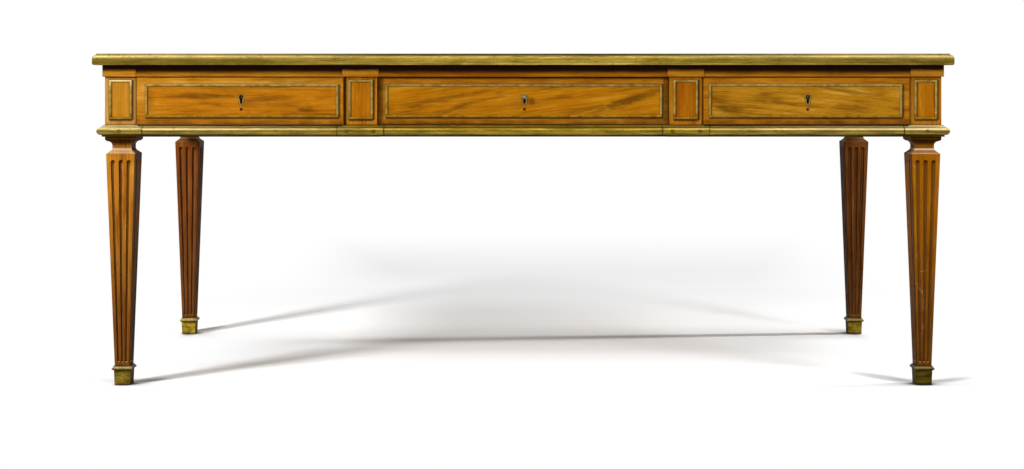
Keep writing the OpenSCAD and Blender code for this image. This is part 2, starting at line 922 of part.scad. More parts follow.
// Frame on the front or panel of bay i
module bay_frame(i, shift) {
    mid = bay_mid[i] + shift;
    translate([0, -half_d + bay_face[i], 0])
        strip_frame([mid - bay_w[i] / 2 + drawer_margin, panel_frame_low],
            [mid + bay_w[i] / 2 - drawer_margin, panel_frame_high]);
}

// Fasteners

// Draws its children at each screw of the lower moulding, with the head towards -Y
module at_moulding_screws() {
    z = z_moulding + moulding_foot_h + moulding_r;
    front_and_back() for (s = [-1, 1]) {
        for (side = [-1, 1])
            translate([s * stile_mid + side * pin_offset, -half_d - moulding_proud, z]) children();
        translate([s * leg_x, -half_d - moulding_proud, z]) children();
    }
    for (turn = [-90, 90]) rotate([0, 0, turn])
        for (s = [-1, 1]) translate([s * leg_y, -half_w - moulding_proud, z]) children();
}

module moulding_screws() {
    color(BRASS) at_moulding_screws()
        translate([0, pin_sunk, 0]) rotate([-90, 0, 0])
            cylinder(h = pin_l - pin_sunk - eps, d = pin_dia, $fn = smooth);
}

module moulding_screw_holes() {
    at_moulding_screws()
        translate([0, -eps, 0]) rotate([-90, 0, 0])
            cylinder(h = pin_l + eps, d = pin_dia + 2 * screw_gap, $fn = smooth);
}

// Draws its children under each screw of the top board
module at_top_screws() {
    for (e = edges, s = [-1, 0, 1])
        translate([e[1] + e[2] * runner_reach / 2, s * (frame_in - screw_inset), z_open_top]) children();
}

module top_screws() {
    color(STEEL) at_top_screws() translate([0, 0, screw_sink]) {
        cylinder(h = screw_head_h, d = screw_head_dia, $fn = smooth);
        cylinder(h = screw_l, d = screw_dia, $fn = smooth);
    }
}

module top_screw_holes() {
    at_top_screws() translate([0, 0, -eps]) {
        cylinder(h = screw_sink + screw_head_h + eps, d = screw_head_dia + 2 * screw_gap, $fn = smooth);
        cylinder(h = screw_sink + screw_l + 2 * eps, d = screw_dia + 2 * screw_gap, $fn = smooth);
    }
}

// Drawers: i is the bay

function face_y(i) = -half_d + bay_face[i];
function half_front(i) = bay_w[i] / 2 - front_gap;
function key_x(i) = bay_mid[i] + key_shift;

// Box in drawer i: x from its middle, depth from its front face
module drawer_box(i, x0, x1, d0, d1, z0, z1) {
    box([bay_mid[i] + x0, face_y(i) + d0, z0], [bay_mid[i] + x1, face_y(i) + d1, z1]);
}

// Keyhole outline, widened by grow
module key_outline(grow) {
    circle(r = key_r + grow, $fn = smooth);
    translate([-key_slot_w / 2 - grow, -key_slot_l + key_slot_w / 2])
        square([key_slot_w + 2 * grow, key_slot_l - key_slot_w / 2]);
    translate([0, -key_slot_l + key_slot_w / 2]) circle(r = key_slot_w / 2 + grow, $fn = smooth);
}

// Solid of an outline in drawer i around the keyhole, from depth d0 to d1
module at_key(i, d0, d1) {
    translate([key_x(i), face_y(i) + d1, key_z])
        rotate([90, 0, 0]) linear_extrude(height = d1 - d0) children();
}

module drawer_sides(i) {
    w = half_front(i);
    difference() {
        for (s = [-1, 1])
            drawer_box(i, s < 0 ? -w : w - side_t, s < 0 ? -w + side_t : w,
                lap_t, drawer_l, side_low, side_low + side_h);
        drawer_bottom(i);
    }
}

module drawer_bottom(i) {
    w = half_front(i) - side_t + groove_d;
    drawer_box(i, -w, w, front_t - groove_d, drawer_l - back_inset,
        side_low + bottom_rise, side_low + bottom_rise + bottom_t);
}

module drawer_back(i) {
    w = half_front(i) - side_t;
    drawer_box(i, -w, w, drawer_l - back_inset - side_t, drawer_l - back_inset,
        side_low + bottom_rise + bottom_t, side_low + side_h - back_drop);
}

// Space of the lock in the back of the front
module lock_space(i) {
    box([key_x(i) - lock_w / 2, face_y(i) + front_t - lock_t, key_z - lock_below],
        [key_x(i) + lock_w / 2, face_y(i) + front_t, front_high]);
}

module drawer_front(i) {
    w = half_front(i);
    difference() {
        drawer_box(i, -w, w, 0, front_t, front_low, front_high);
        drawer_box(i, -w - eps, -w + side_t, lap_t, front_t + eps, front_low - eps, side_low + side_h);
        drawer_box(i, w - side_t, w + eps, lap_t, front_t + eps, front_low - eps, side_low + side_h);
        drawer_bottom(i);
        lock_space(i);
        at_key(i, -eps, escutcheon_d) key_outline(escutcheon_rim);
        at_key(i, -eps, front_t - lock_t + eps) key_outline(0);
        translate([key_x(i), face_y(i) - eps, key_z - peg_hole_drop])
            rotate([-90, 0, 0]) cylinder(h = peg_hole_d + eps, d = peg_hole_dia, $fn = smooth);
    }
}

module drawer_escutcheon(i) {
    at_key(i, -escutcheon_proud, escutcheon_d) difference() {
        key_outline(escutcheon_rim);
        key_outline(0);
    }
}

// Lock case with its keyhole, its pin and the way of the bolt
module drawer_lock(i) {
    difference() {
        lock_space(i);
        at_key(i, front_t - lock_t - eps, front_t - lock_plate_t) key_outline(0);
        bolt_space(i, slide_gap, bolt_floor, front_high + eps);
    }
    lock_pin(i, front_t - lock_plate_t);
}

// Pin in the keyhole, with a domed end
module lock_pin(i, depth) {
    r = lock_pin_r[i];
    shoulder = -lock_pin_proud[i] + r / 2;
    translate([key_x(i), face_y(i), key_z]) {
        translate([0, shoulder, 0]) rotate([-90, 0, 0])
            cylinder(h = depth - shoulder, r = r, $fn = smooth);
        translate([0, shoulder, 0]) intersection() {
            translate([0, r * dome_back, 0]) sphere(r = r * dome_r, $fn = smooth);
            rotate([90, 0, 0]) cylinder(h = r, r = r + eps, $fn = smooth);
        }
    }
}

// Box around the bolt of drawer i, wider by gap at each side, from z0 to z1
module bolt_space(i, gap, z0, z1) {
    y = face_y(i) + front_t - lock_t / 2;
    box([key_x(i) - bolt_w / 2 - gap, y - bolt_t / 2 - gap, z0],
        [key_x(i) + bolt_w / 2 + gap, y + bolt_t / 2 + gap, z1]);
}

module drawer_bolt(i) {
    bolt_space(i, 0, bolt_floor + slide_gap, bolt_floor + slide_gap + bolt_h);
}

// Room for the bolt of drawer i in the rail above it
module bolt_mortise(i) {
    bolt_space(i, mortise_gap, z_open_top - eps, z_open_top + bolt_travel + mortise_gap);
}

leg(-1, -1);  // leg_front_left
leg(1, -1);  // leg_front_right
leg(-1, 1);  // leg_back_left
leg(1, 1);  // leg_back_right
sabot(-1, -1);  // sabot_front_left
sabot(1, -1);  // sabot_front_right
sabot(-1, 1);  // sabot_back_left
sabot(1, 1);  // sabot_back_right
front_upper_rail();
front_lower_rail();
back_upper_rail();
back_lower_rail();
stile_front_left();
stile_front_right();
back_stiles();
back_panels();
side_apron_left();
side_apron_right();
partition_left();
partition_right();
drawer_runners();
drawer_kickers();
drawer_stops();
rail_caps();
top_board();
leather_top();
top_moulding_front();
top_moulding_back();
top_moulding_left();
top_moulding_right();
corner_mouldings();
stile_mouldings();
bay_mouldings();
panel_frames();
moulding_screws();
top_screws();
color(MAHOGANY) drawer_front(LEFT);  // drawer_left_front
color(OAK) drawer_sides(LEFT);  // drawer_left_sides
color(OAK) drawer_back(LEFT);  // drawer_left_back
color(OAK) drawer_bottom(LEFT);  // drawer_left_bottom
color(BRASS) bay_frame(LEFT, frame_shift[LEFT]);  // drawer_left_frame
color(BRASS) drawer_escutcheon(LEFT);  // drawer_left_escutcheon
color(BRASS) drawer_lock(LEFT);  // drawer_left_lock
color(BRASS) drawer_bolt(LEFT);  // drawer_left_bolt
color(MAHOGANY) drawer_front(CENTRE);  // drawer_centre_front
color(OAK) drawer_sides(CENTRE);  // drawer_centre_sides
color(OAK) drawer_back(CENTRE);  // drawer_centre_back
color(OAK) drawer_bottom(CENTRE);  // drawer_centre_bottom
color(BRASS) bay_frame(CENTRE, frame_shift[CENTRE]);  // drawer_centre_frame
color(BRASS) drawer_escutcheon(CENTRE);  // drawer_centre_escutcheon
color(BRASS) drawer_lock(CENTRE);  // drawer_centre_lock
color(BRASS) drawer_bolt(CENTRE);  // drawer_centre_bolt
color(MAHOGANY) drawer_front(RIGHT);  // drawer_right_front
color(OAK) drawer_sides(RIGHT);  // drawer_right_sides
color(OAK) drawer_back(RIGHT);  // drawer_right_back
color(OAK) drawer_bottom(RIGHT);  // drawer_right_bottom
color(BRASS) bay_frame(RIGHT, frame_shift[RIGHT]);  // drawer_right_frame
color(BRASS) drawer_escutcheon(RIGHT);  // drawer_right_escutcheon
color(BRASS) drawer_lock(RIGHT);  // drawer_right_lock
color(BRASS) drawer_bolt(RIGHT);  // drawer_right_bolt
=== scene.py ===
"""Looks of a flat-topped writing desk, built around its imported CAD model.

Everything is in metres in the model's own axes: +X is to the right, +Y to the back and
+Z up. The desk stands on the floor with its drawers towards -Y.
"""

import json
import math

import bmesh
import bpy
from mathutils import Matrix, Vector


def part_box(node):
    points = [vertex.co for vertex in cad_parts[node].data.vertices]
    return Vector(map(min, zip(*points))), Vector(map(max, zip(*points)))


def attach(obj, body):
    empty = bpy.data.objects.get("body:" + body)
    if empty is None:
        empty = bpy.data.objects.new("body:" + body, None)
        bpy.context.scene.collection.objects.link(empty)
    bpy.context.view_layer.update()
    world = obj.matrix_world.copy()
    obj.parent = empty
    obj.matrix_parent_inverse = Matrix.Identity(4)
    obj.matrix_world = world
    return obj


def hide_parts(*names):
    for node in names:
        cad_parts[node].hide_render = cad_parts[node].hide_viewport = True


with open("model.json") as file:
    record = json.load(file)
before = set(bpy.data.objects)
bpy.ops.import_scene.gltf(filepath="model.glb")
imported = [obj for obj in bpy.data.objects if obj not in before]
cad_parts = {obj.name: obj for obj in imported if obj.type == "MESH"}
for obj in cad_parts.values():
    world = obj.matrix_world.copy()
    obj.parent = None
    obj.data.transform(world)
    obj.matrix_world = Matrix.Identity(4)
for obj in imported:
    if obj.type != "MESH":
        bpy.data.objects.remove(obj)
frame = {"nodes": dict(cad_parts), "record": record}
bpy.context.view_layer.update()
NODES = frame["nodes"]
BODY_OF = {n: b for b, names in frame["record"]["behaviour"]["bodies"].items() for n in names}

# Camera: size of the picture, focal length and centre of sight in its pixels, and place
IMAGE_W, IMAGE_H = 1024, 469
FOCAL_PX = 1669.1
SIGHT_PX = (515.1, 82.7)
CAMERA_AT = (-0.0186, -4.279, 0.7011)
SENSOR_MM = 36

# Sizes of the desk that the materials follow
POST_W = 0.072
STRIP_W = 0.0055
POST_MARGIN = 0.0095
POST_MARGIN_TOP = 0.007
POST_MARGIN_FOOT = 0.0125
OPENING_LOW, OPENING_HIGH = 0.6035, 0.715
MOULDING_LOW = 0.5765
HOLE_Z = 0.63975
SCREW_Z = 0.5895
SCREWS_X = (0.344, 0.406, 0.929)
SCREW_Y = 0.392
JOINTS_X = (0.321, 0.429, 0.877)
JOINT_Y = 0.34
FOOT_X, FOOT_Y = 0.929, 0.392
SHAFT_HALF, SHAFT_TAPER, SHAFT_LOW, SHAFT_TOP = 0.01775, 0.03303, 0.0445, 0.5365
FLUTE_TOP = 0.5225
MITRE = 0.537
FORWARD, UPWARD = (0, -1, 0), (0, 0, 1)


# Shader helpers


def add(tree, kind, inputs=None, **settings):
    """Adds a shader node, applies its settings, and sets or links its inputs."""
    made = tree.nodes.new("ShaderNode" + kind)
    for key, value in settings.items():
        setattr(made, key, value)
    for key, value in (inputs or {}).items():
        put(made.inputs[key], value)
    return made


def put(socket, value):
    """Links a socket to this one, or sets this one's value."""
    if isinstance(value, bpy.types.NodeSocket):
        socket.id_data.links.new(value, socket)
    elif socket.type == "RGBA":
        socket.default_value = (*value[:3], 1)
    else:
        socket.default_value = value


def linked(kind, inputs, **settings):
    """Adds a shader node to the tree of the sockets among its inputs."""
    sockets = (value for value in inputs.values() if isinstance(value, bpy.types.NodeSocket))
    return add(next(sockets).id_data, kind, inputs, **settings)


def calc(operation, *values, clamp=False):
    """One step of arithmetic."""
    inputs = dict(enumerate(values))
    return linked("Math", inputs, operation=operation, use_clamp=clamp).outputs[0]


def times(first, *others):
    """The product of some numbers."""
    for other in others:
        first = calc("MULTIPLY", first, other)
    return first


def minus(a, b):
    return calc("SUBTRACT", a, b)


def plus(a, b):
    return calc("ADD", a, b)


def times_plus(a, b, c):
    """a times b, plus c."""
    return calc("MULTIPLY_ADD", a, b, c)


def absolute(value):
    return calc("ABSOLUTE", value)


def highest(first, *others):
    """The highest of some numbers."""
    for other in others:
        first = calc("MAXIMUM", first, other)
    return first


def point(*values):
    """A point, or a direction, from its x, y and z."""
    return linked("CombineXYZ", dict(enumerate(values))).outputs[0]


def vector_calc(operation, a, b):
    return linked("VectorMath", {0: a, 1: b}, operation=operation).outputs


def scaled(vector, factors):
    return vector_calc("MULTIPLY", vector, factors)[0]


def moved(vector, step):
    return vector_calc("ADD", vector, step)[0]


def mixed(factor, a, b, blend="MIX"):
    """Colour a turning into colour b as factor goes from 0 to 1."""
    inputs = {0: factor, 6: a, 7: b}
    return linked("Mix", inputs, data_type="RGBA", blend_type=blend).outputs[2]


def blended(factor, a, b):
    """Number a turning into number b as factor goes from 0 to 1."""
    return linked("Mix", {0: factor, 2: a, 3: b}, data_type="FLOAT").outputs[0]


def stretched(value, low, high, to_low=0, to_high=1):
    """Maps low..high to to_low..to_high, with soft ends."""
    inputs = dict(enumerate((value, low, high, to_low, to_high)))
    return linked("MapRange", inputs, interpolation_type="SMOOTHSTEP").outputs[0]


def ramp(value, stops):
    """Numbers that follow value, from (value, number) pairs in rising order."""
    low, high = stops[0][0], stops[-1][0]
    share = calc("DIVIDE", minus(value, low), high - low, clamp=True)
    made = linked("ValToRGB", {0: share})
    marks = made.color_ramp.elements
    for index, (at, number) in enumerate(stops):
        where = (at - low) / (high - low)
        mark = marks[index] if index < 2 else marks.new(where)
        mark.position = where
        mark.color = (number, number, number, 1)
    return made.outputs[0]


def noise(vector, scale, detail=2, roughness=0.5, distortion=0):
    """Soft clouds. scale is how many there are to a metre: one number, two for the first
    axis and the others, or three; None takes the vector as it is."""
    if scale:
        first, *others = scale if isinstance(scale, tuple) else (scale, scale)
        vector = scaled(vector, (first, others[0], others[-1]))
    return linked("TexNoise", {
        "Vector": vector, "Scale": 1, "Detail": detail, "Roughness": roughness,
        "Distortion": distortion,
    }).outputs[0]


def group(name, inputs, outputs):
    """A node group with these sockets: its tree, and the sockets of its inputs and outputs
    inside."""
    tree = bpy.data.node_groups.new(name, "ShaderNodeTree")
    for way, sockets in (("INPUT", inputs), ("OUTPUT", outputs)):
        for label, kind in sockets:
            tree.interface.new_socket(label, in_out=way, socket_type="NodeSocket" + kind)
    return tree, tree.nodes.new("NodeGroupInput").outputs, tree.nodes.new("NodeGroupOutput").inputs


def use(inner, inputs):
    """Adds a node group and gives its outputs."""
    return linked("Group", inputs, node_tree=inner).outputs


def material(name):
    """An empty material: itself, its tree and its output socket."""
    made = bpy.data.materials.new(name)
    made.use_nodes = True
    made.node_tree.nodes.clear()
    out = add(made.node_tree, "OutputMaterial")
    return made, made.node_tree, out.inputs["Surface"]


def place(tree):
    """The point in the desk's own axes, which moves with its drawer: vector, x, y, z."""
    at = add(tree, "TexCoord").outputs["Object"]
    apart = linked("SeparateXYZ", {0: at}).outputs
    return at, apart[0], apart[1], apart[2]


def aligned(x, y, z, along):
    """The point with the grain's direction first."""
    return point(*{"X": (x, y, z), "Y": (y, x, z), "Z": (z, x, y)}[along])


def turned(u, v, cos, sin):
    """A point of a plane on axes turned by an angle with this cosine and sine."""
    along = plus(times(u, cos), times(v, sin))
    across = minus(times(v, cos), times(u, sin))
    return along, across


def inside(u, v, low, high):
    """1 inside the rectangle from low to high, else 0."""
    sides = [
        calc("COMPARE", value, (a + b) / 2, (b - a) / 2)
        for value, a, b in zip((u, v), low, high)
    ]
    return times(*sides)


def open_air(tree, reach, samples, **settings):
    """The share of open air around the surface, out to reach."""
    made = add(tree, "AmbientOcclusion", {"Distance": reach}, samples=samples, **settings)
    return made.outputs[1]


def crevice(tree, reach, closed, free, strength):
    """strength in hollows and beside mouldings, where the share of open air is no more
    than closed, and 0 where it is free or more."""
    return stretched(open_air(tree, reach, 6), closed, free, strength, 0)


def finish(surface, colour, rough, relief=None, metal=0, gloss=0.5):
    """Ends a material. relief is the strength, the depth and the height of its bumps."""
    inputs = {
        "Base Color": colour, "Metallic": metal, "Roughness": rough, "Specular IOR Level": gloss}
    if relief:
        bump = linked("Bump", dict(zip(("Strength", "Distance", "Height"), relief)))
        inputs["Normal"] = bump.outputs[0]
    put(surface, linked("BsdfPrincipled", inputs).outputs[0])


# Wood


def make_grain():
    """Wood with its grain along the first axis: soft bands, streaks, fine lines and pores,
    leaning figure and brown clouds."""
    tree, given, out = group(
        "grain",
        [("Vector", "Vector"), ("Dark", "Color"), ("Mid", "Color"), ("Light", "Color"),
         ("Figure", "Float"), ("Smoke", "Float")],
        [("Color", "Color"), ("Height", "Float"), ("Streak", "Float")],
    )
    at = given["Vector"]
    sway = minus(noise(at, (2.2, 5)), 0.5)
    shift = point(0, times(sway, 0.045))
    at = moved(at, shift)
    bands = noise(at, (1.6, 40), 3, 0.6)
    streaks = noise(at, (6, 230), 3, 0.65)
    lines = noise(at, (22, 700), 2, 0.6)
    figure = noise(at, (9, 24), 3, 0.55, 0.8)
    value = times_plus(bands, 0.42, times(streaks, 0.4))
    value = times_plus(lines, 0.18, value)
    cross = times(minus(figure, 0.5), given["Figure"])
    value = plus(value, cross)
    lower = stretched(value, 0.365, 0.5)
    upper = stretched(value, 0.5, 0.65)
    colour = mixed(lower, given["Dark"], given["Mid"])
    colour = mixed(upper, colour, given["Light"])
    soot = noise(moved(at, (3.3, 1.1, 0.7)), (7, 38), 4, 0.6, 0.5)
    soot = times(stretched(soot, 0.52, 0.7), given["Smoke"])
    colour = mixed(soot, colour, SMOKE)
    pores = noise(at, (75, 2600), 1)
    pore = stretched(pores, 0.6, 0.7)
    colour = mixed(times(pore, 0.35), colour, given["Dark"], "MULTIPLY")
    put(out["Color"], colour)
    height = times_plus(pore, -0.6, times(lines, 0.4))
    put(out["Height"], height)
    put(out["Streak"], value)
    return tree


SPOT_INPUTS = ("U", "V", "At U", "At V", "Long", "Wide", "Cos", "Sin", "Ragged")


def make_spot():
    """A soft oval spot in a plane: 1 in its middle, 0 at its ragged rim."""
    inputs = [(label, "Float") for label in SPOT_INPUTS]
    tree, given, out = group("spot", inputs, [("Value", "Float")])
    u = minus(given["U"], given["At U"])
    v = minus(given["V"], given["At V"])
    along, across = turned(u, v, given["Cos"], given["Sin"])
    along = calc("DIVIDE", along, given["Long"])
    across = calc("DIVIDE", across, given["Wide"])
    reach = plus(times(along, along), times(across, across))
    reach = plus(reach, given["Ragged"])
    put(out["Value"], stretched(reach, 1.5, -0.3))
    return tree


# Brown clouds, dirt and painted shade, stained holes, worn wood and painted highlights
SMOKE = (0.12, 0.045, 0.003)
DIRT_AND_SHADE = (0.014, 0.004, 0.0006)
STAIN = (0.15, 0.014, 0.003)
PALE_WEAR_AND_HIGHLIGHT = (0.64, 0.42, 0.19)
NECK_HIGHLIGHT_COLOUR = (0.92, 0.74, 0.5)
# How much paler some wood is towards the left end of the desk, and where
LEFT_GAIN = (1.12, 1.24, 2)
LEFT_ENDS = (-0.3, -0.55)
LEFT_HEIGHTS = (0.62, 0.69)
# Colours of the wood as dark, middle and light streaks
PANEL_TONES = {
    "left": ((0.27, 0.085, 0.001), (0.46, 0.158, 0.003), (0.58, 0.245, 0.014)),
    "centre": ((0.24, 0.08, 0.001), (0.47, 0.168, 0.002), (0.62, 0.275, 0.01)),
    "right": ((0.24, 0.092, 0.002), (0.48, 0.208, 0.007), (0.64, 0.335, 0.034)),
}
BORDER_TONES = ((0.3, 0.094, 0.002), (0.47, 0.172, 0.006), (0.61, 0.27, 0.024))
LEFT_POST_TONES = ((0.37, 0.14, 0.004), (0.48, 0.202, 0.012), (0.58, 0.275, 0.032))
LEFT_BORDER_TONES = ((0.36, 0.15, 0.018), (0.5, 0.245, 0.045), (0.6, 0.33, 0.09))
POST_TONES = ((0.3, 0.082, 0.0012), (0.44, 0.146, 0.002), (0.56, 0.225, 0.008))
RIGHT_STILE_TONES = ((0.25, 0.06, 0.001), (0.37, 0.108, 0.0012), (0.47, 0.165, 0.004))
RAIL_TONES = ((0.3, 0.088, 0.0016), (0.44, 0.15, 0.003), (0.56, 0.225, 0.01))
TOP_TONES = ((0.22, 0.065, 0.003), (0.34, 0.11, 0.005), (0.45, 0.17, 0.014))
OAK_TONES = ((0.27, 0.17, 0.085), (0.42, 0.29, 0.155), (0.53, 0.39, 0.23))
# Legs' tones: partly own colour, partly painted light and shade; the front left leg is lit
# brightest and the back legs lie in the top's shadow
GOLDEN_LEG = ((0.28, 0.082, 0.004), (0.49, 0.185, 0.013), (0.65, 0.29, 0.036))
GOLDEN_LEG_LOW = ((0.1, 0.026, 0.002), (0.21, 0.066, 0.007), (0.32, 0.118, 0.018))
BROWN_LEG = ((0.21, 0.058, 0.001), (0.365, 0.117, 0.0014), (0.47, 0.175, 0.007))
BROWN_LEG_LOW = ((0.1, 0.026, 0.002), (0.195, 0.062, 0.005), (0.29, 0.106, 0.012))
RED_LEG = ((0.14, 0.028, 0.003), (0.275, 0.076, 0.011), (0.39, 0.13, 0.028))
RED_LEG_LOW = ((0.105, 0.024, 0.004), (0.215, 0.066, 0.013), (0.32, 0.118, 0.03))
DARK_LEG = ((0.13, 0.034, 0.005), (0.265, 0.084, 0.016), (0.37, 0.138, 0.036))
DARK_LEG_LOW = ((0.13, 0.036, 0.006), (0.27, 0.094, 0.02), (0.38, 0.15, 0.042))

# Dirt and painted shade in the hollows of the wood and in the flutes of the legs: how far it
# looks around, how closed and how open they are, and its strength
HOLLOWS = (0.01, 0.3, 0.85, 0.8)
FLUTES = (0.011, 0.5, 0.88, 0.9)
# How far from a corner its paler edge, worn and with a painted highlight, reaches
CORNER_REACH = 0.0016
# Dirt around a drilled hole: how far it is full, where it ends, and its strength
HOLE_DIRT = (0.0026, 0.0046, 0.92)
# Painted shadows to the right of a frame's left and right strips and under its lower one: reach,
# strength
BY_LEFT, BY_RIGHT, BY_LOWER = (0.004, 0.7), (0.0075, 0.95), (0.0065, 0.95)

GRAIN = make_grain()
SPOT = make_spot()


def grain(vector, tones, figure, smoke=0):
    inputs = dict(zip(("Dark", "Mid", "Light"), tones), Vector=vector, Figure=figure, Smoke=smoke)
    return use(GRAIN, inputs)


def polished(
        tree, surface, colour, height, streak, roughness, shade, hollows=HOLLOWS, gloss=0.045,
        rubbing=0.45, clean=None):
    """Waxed wood from its colour and fine relief. shade is None or extra painted shade and dirt,
    from 0 to 1, beside the dirt and painted shade in hollows, which is left out where clean is 1,
    on the lit sides and feet of flutes; corners are paler, worn and with a painted highlight."""
    # Dirt and painted shade in hollows, left out where clean is 1
    dirty = crevice(tree, *hollows)
    if clean is not None:
        dirty = times(dirty, minus(1, clean))
    if shade is not None:
        dirty = highest(dirty, shade)
    colour = mixed(dirty, colour, DIRT_AND_SHADE)
    # Paler corners: wear with a painted highlight
    corner = open_air(tree, CORNER_REACH, 4, inside=True, only_local=True)
    rubbed = stretched(corner, 0.62, 0.35, 0, rubbing)
    colour = mixed(rubbed, colour, PALE_WEAR_AND_HIGHLIGHT)
    rough = stretched(streak, 0.3, 0.7, roughness + 0.08, roughness - 0.06)
    finish(surface, colour, rough, (0.35, 0.0004, height), gloss=gloss)


def oval(u, v, given, ragged=0):
    """A soft spot from its place, half length and width, lean in degrees and strength."""
    at_u, at_v, long, wide, lean, strength = given
    turn = math.radians(lean)
    values = (u, v, at_u, at_v, long, wide, math.cos(turn), math.sin(turn), ragged)
    value = use(SPOT, dict(zip(SPOT_INPUTS, values)))["Value"]
    return times(value, strength)


def spots(u, v, given):
    """The highest of some ragged spots, each given as for oval."""
    at = point(u, v)
    ragged = noise(at, (38, 150, 1), 4, 0.65)
    ragged = times(minus(ragged, 0.5), 3.2)
    return highest(*(oval(u, v, spot, ragged) for spot in given))


def wood(
        name, along, tones, figure, seed, roughness=0.42, smoke=0.3, panel=None, shade=None,
        paler=False):
    """Wood with its grain along one axis. panel gives the areas inside brass frames: a
    function from (x, y, z) to their mask, then their tones, grain, figure, lean,
    smoke, brown spots (one of them a painted shadow) and the place of a stained hole.
    shade is a function from (x, y, z) to extra painted shade and dirt, such as the painted
    shadow under the top's overhang. paler wood fades towards the left end of the desk."""
    made, tree, surface = material(name)
    x, y, z = place(tree)[1:]
    vector = moved(aligned(x, y, z, along), (seed, seed * 0.7, seed * 0.3))
    body = grain(vector, tones, figure, smoke)
    colour, height, streak = body["Color"], body["Height"], body["Streak"]
    if paler:
        share = times(stretched(x, *LEFT_ENDS), stretched(z, *LEFT_HEIGHTS))
        colour = mixed(share, colour, scaled(colour, LEFT_GAIN))
    if panel:
        mask, inner_tones, inner_along, inner_figure, lean, inner_smoke, clouds, hole = panel
        slope = math.tan(math.radians(lean))
        tilted = times_plus(x, -slope, z) if lean else z
        vector = moved(aligned(x, y, tilted, inner_along), (seed + 5, seed, 1))
        inner = grain(vector, inner_tones, inner_figure, inner_smoke)
        inner_colour = inner["Color"]
        if clouds:
            inner_colour = mixed(spots(x, z, clouds), inner_colour, SMOKE)
        if hole:
            inner_colour = mixed(near(x, z, hole, *HOLE_DIRT), inner_colour, STAIN)
        share = mask(x, y, z)
        colour = mixed(share, colour, inner_colour)
        height = blended(share, height, inner["Height"])
        streak = blended(share, streak, inner["Streak"])
    dirt = shade(x, y, z) if shade else None
    polished(tree, surface, colour, height, streak, roughness, dirt)
    return made


def near(u, v, middle, inner, outer, strength):
    """strength within inner of a point of a plane, nothing beyond outer."""
    along = minus(u, middle[0])
    across = minus(v, middle[1])
    squares = plus(times(along, along), times(across, across))
    return stretched(calc("SQRT", squares), inner, outer, strength, 0)


def middle_of(node):
    """The middle of a node's box."""
    low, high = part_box(node)
    return (low + high) / 2


def front_frame(node):
    """The middle line of a brass frame on a drawer front, as two corners."""
    low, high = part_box(node)
    half = STRIP_W / 2
    return (low.x + half, low.z + half), (high.x - half, high.z - half)


def front_mask(node):
    """The area inside the brass frame in this node, on a drawer front."""
    return lambda x, y, z: inside(x, z, *front_frame(node))


def beside(distance, reach, strength):
    """Painted shadow from a strip's edge out to reach, from the distance to the strip's middle
    line.
    """
    start = STRIP_W / 2
    fading = stretched(distance, start, start + reach, strength, 0)
    return times(fading, calc("GREATER_THAN", distance, start - 0.0006))


def frame_shadow_and_dirt(u, v, low, high):
    """Painted shadows and dirt beside a brass frame whose middle line is the rectangle low..high:
    a thin dark line along its strips, and most of it as painted shadows to the right of its
    upright strips and under its lower one."""
    half = STRIP_W / 2
    in_u = calc("COMPARE", u, (low[0] + high[0]) / 2 + 0.001, (high[0] - low[0]) / 2 + half)
    in_v = calc("COMPARE", v, (low[1] + high[1]) / 2 - 0.001, (high[1] - low[1]) / 2 + half)
    upright = highest(
        beside(minus(u, low[0]), *BY_LEFT), beside(minus(u, high[0]), *BY_RIGHT))
    flat = beside(minus(low[1], v), *BY_LOWER)
    edge = absolute(rim(u, v, low, high, 0))
    thin = stretched(edge, half - 0.0002, half + 0.0012, 0.65, 0)
    return highest(thin, times(upright, in_v), times(flat, in_u))


def front_shade(front, frame_node, edges, ends):
    """Painted shade in the gaps around the edges of a drawer front, as far as edges gives and
    that strong, and below its top edge; painted shadows along its brass frame; darker towards
    its bottom; and at its left and right ends as far as the frame, a painted shadow of the
    inner post on the left and darker on the right."""
    low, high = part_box(front)
    frame_low, frame_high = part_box(frame_node)

    def shade(x, y, z):
        edge = rim(x, z, (low.x, low.z), (high.x, high.z), 0)
        found = [
            stretched(edge, 0.0009, 0.003, edges[1], 0),
            stretched(minus(high.z, z), 0.0009, edges[0], 0.97, 0),
            frame_shadow_and_dirt(x, z, *front_frame(frame_node)),
        ]
        uneven = noise(point(times(x, 26), z), None, 3)
        foot = stretched(z, low.z + 0.019, low.z + 0.004, 0.05, 0.55)
        foot = times(foot, stretched(uneven, 0.3, 0.6, 0.35, 1))
        found.append(times(foot, calc("LESS_THAN", z, frame_low.z)))
        # At the ends: a painted shadow of the inner post on the left, darker on the right
        if ends[0]:
            found.append(stretched(x, low.x + 0.009, frame_low.x, ends[0], 0))
        if ends[1]:
            found.append(stretched(x, frame_high.x, frame_high.x + 0.004, 0, ends[1]))
        return times(highest(*found), facing(z.id_data, FORWARD, 0.2, 0.7))

    return shade


def post_plane(x, y, x0, y0):
    """How far a point on a side of a post is from the middle of that side."""
    u = minus(x, x0)
    v = minus(y, y0)
    front = calc("GREATER_THAN", absolute(v), absolute(u))
    return blended(front, v, u)


def post_frame(wide):
    """The middle line of the brass frame on a post this wide, as two corners."""
    half = wide / 2 - POST_MARGIN - STRIP_W / 2
    low = OPENING_LOW + POST_MARGIN_FOOT + STRIP_W / 2
    high = OPENING_HIGH - POST_MARGIN_TOP - STRIP_W / 2
    return (-half, low), (half, high)


def post_mask(x0, y0, wide):
    """The areas inside the brass frames on the sides of a post around (x0, y0)."""
    return lambda x, y, z: inside(post_plane(x, y, x0, y0), z, *post_frame(wide))


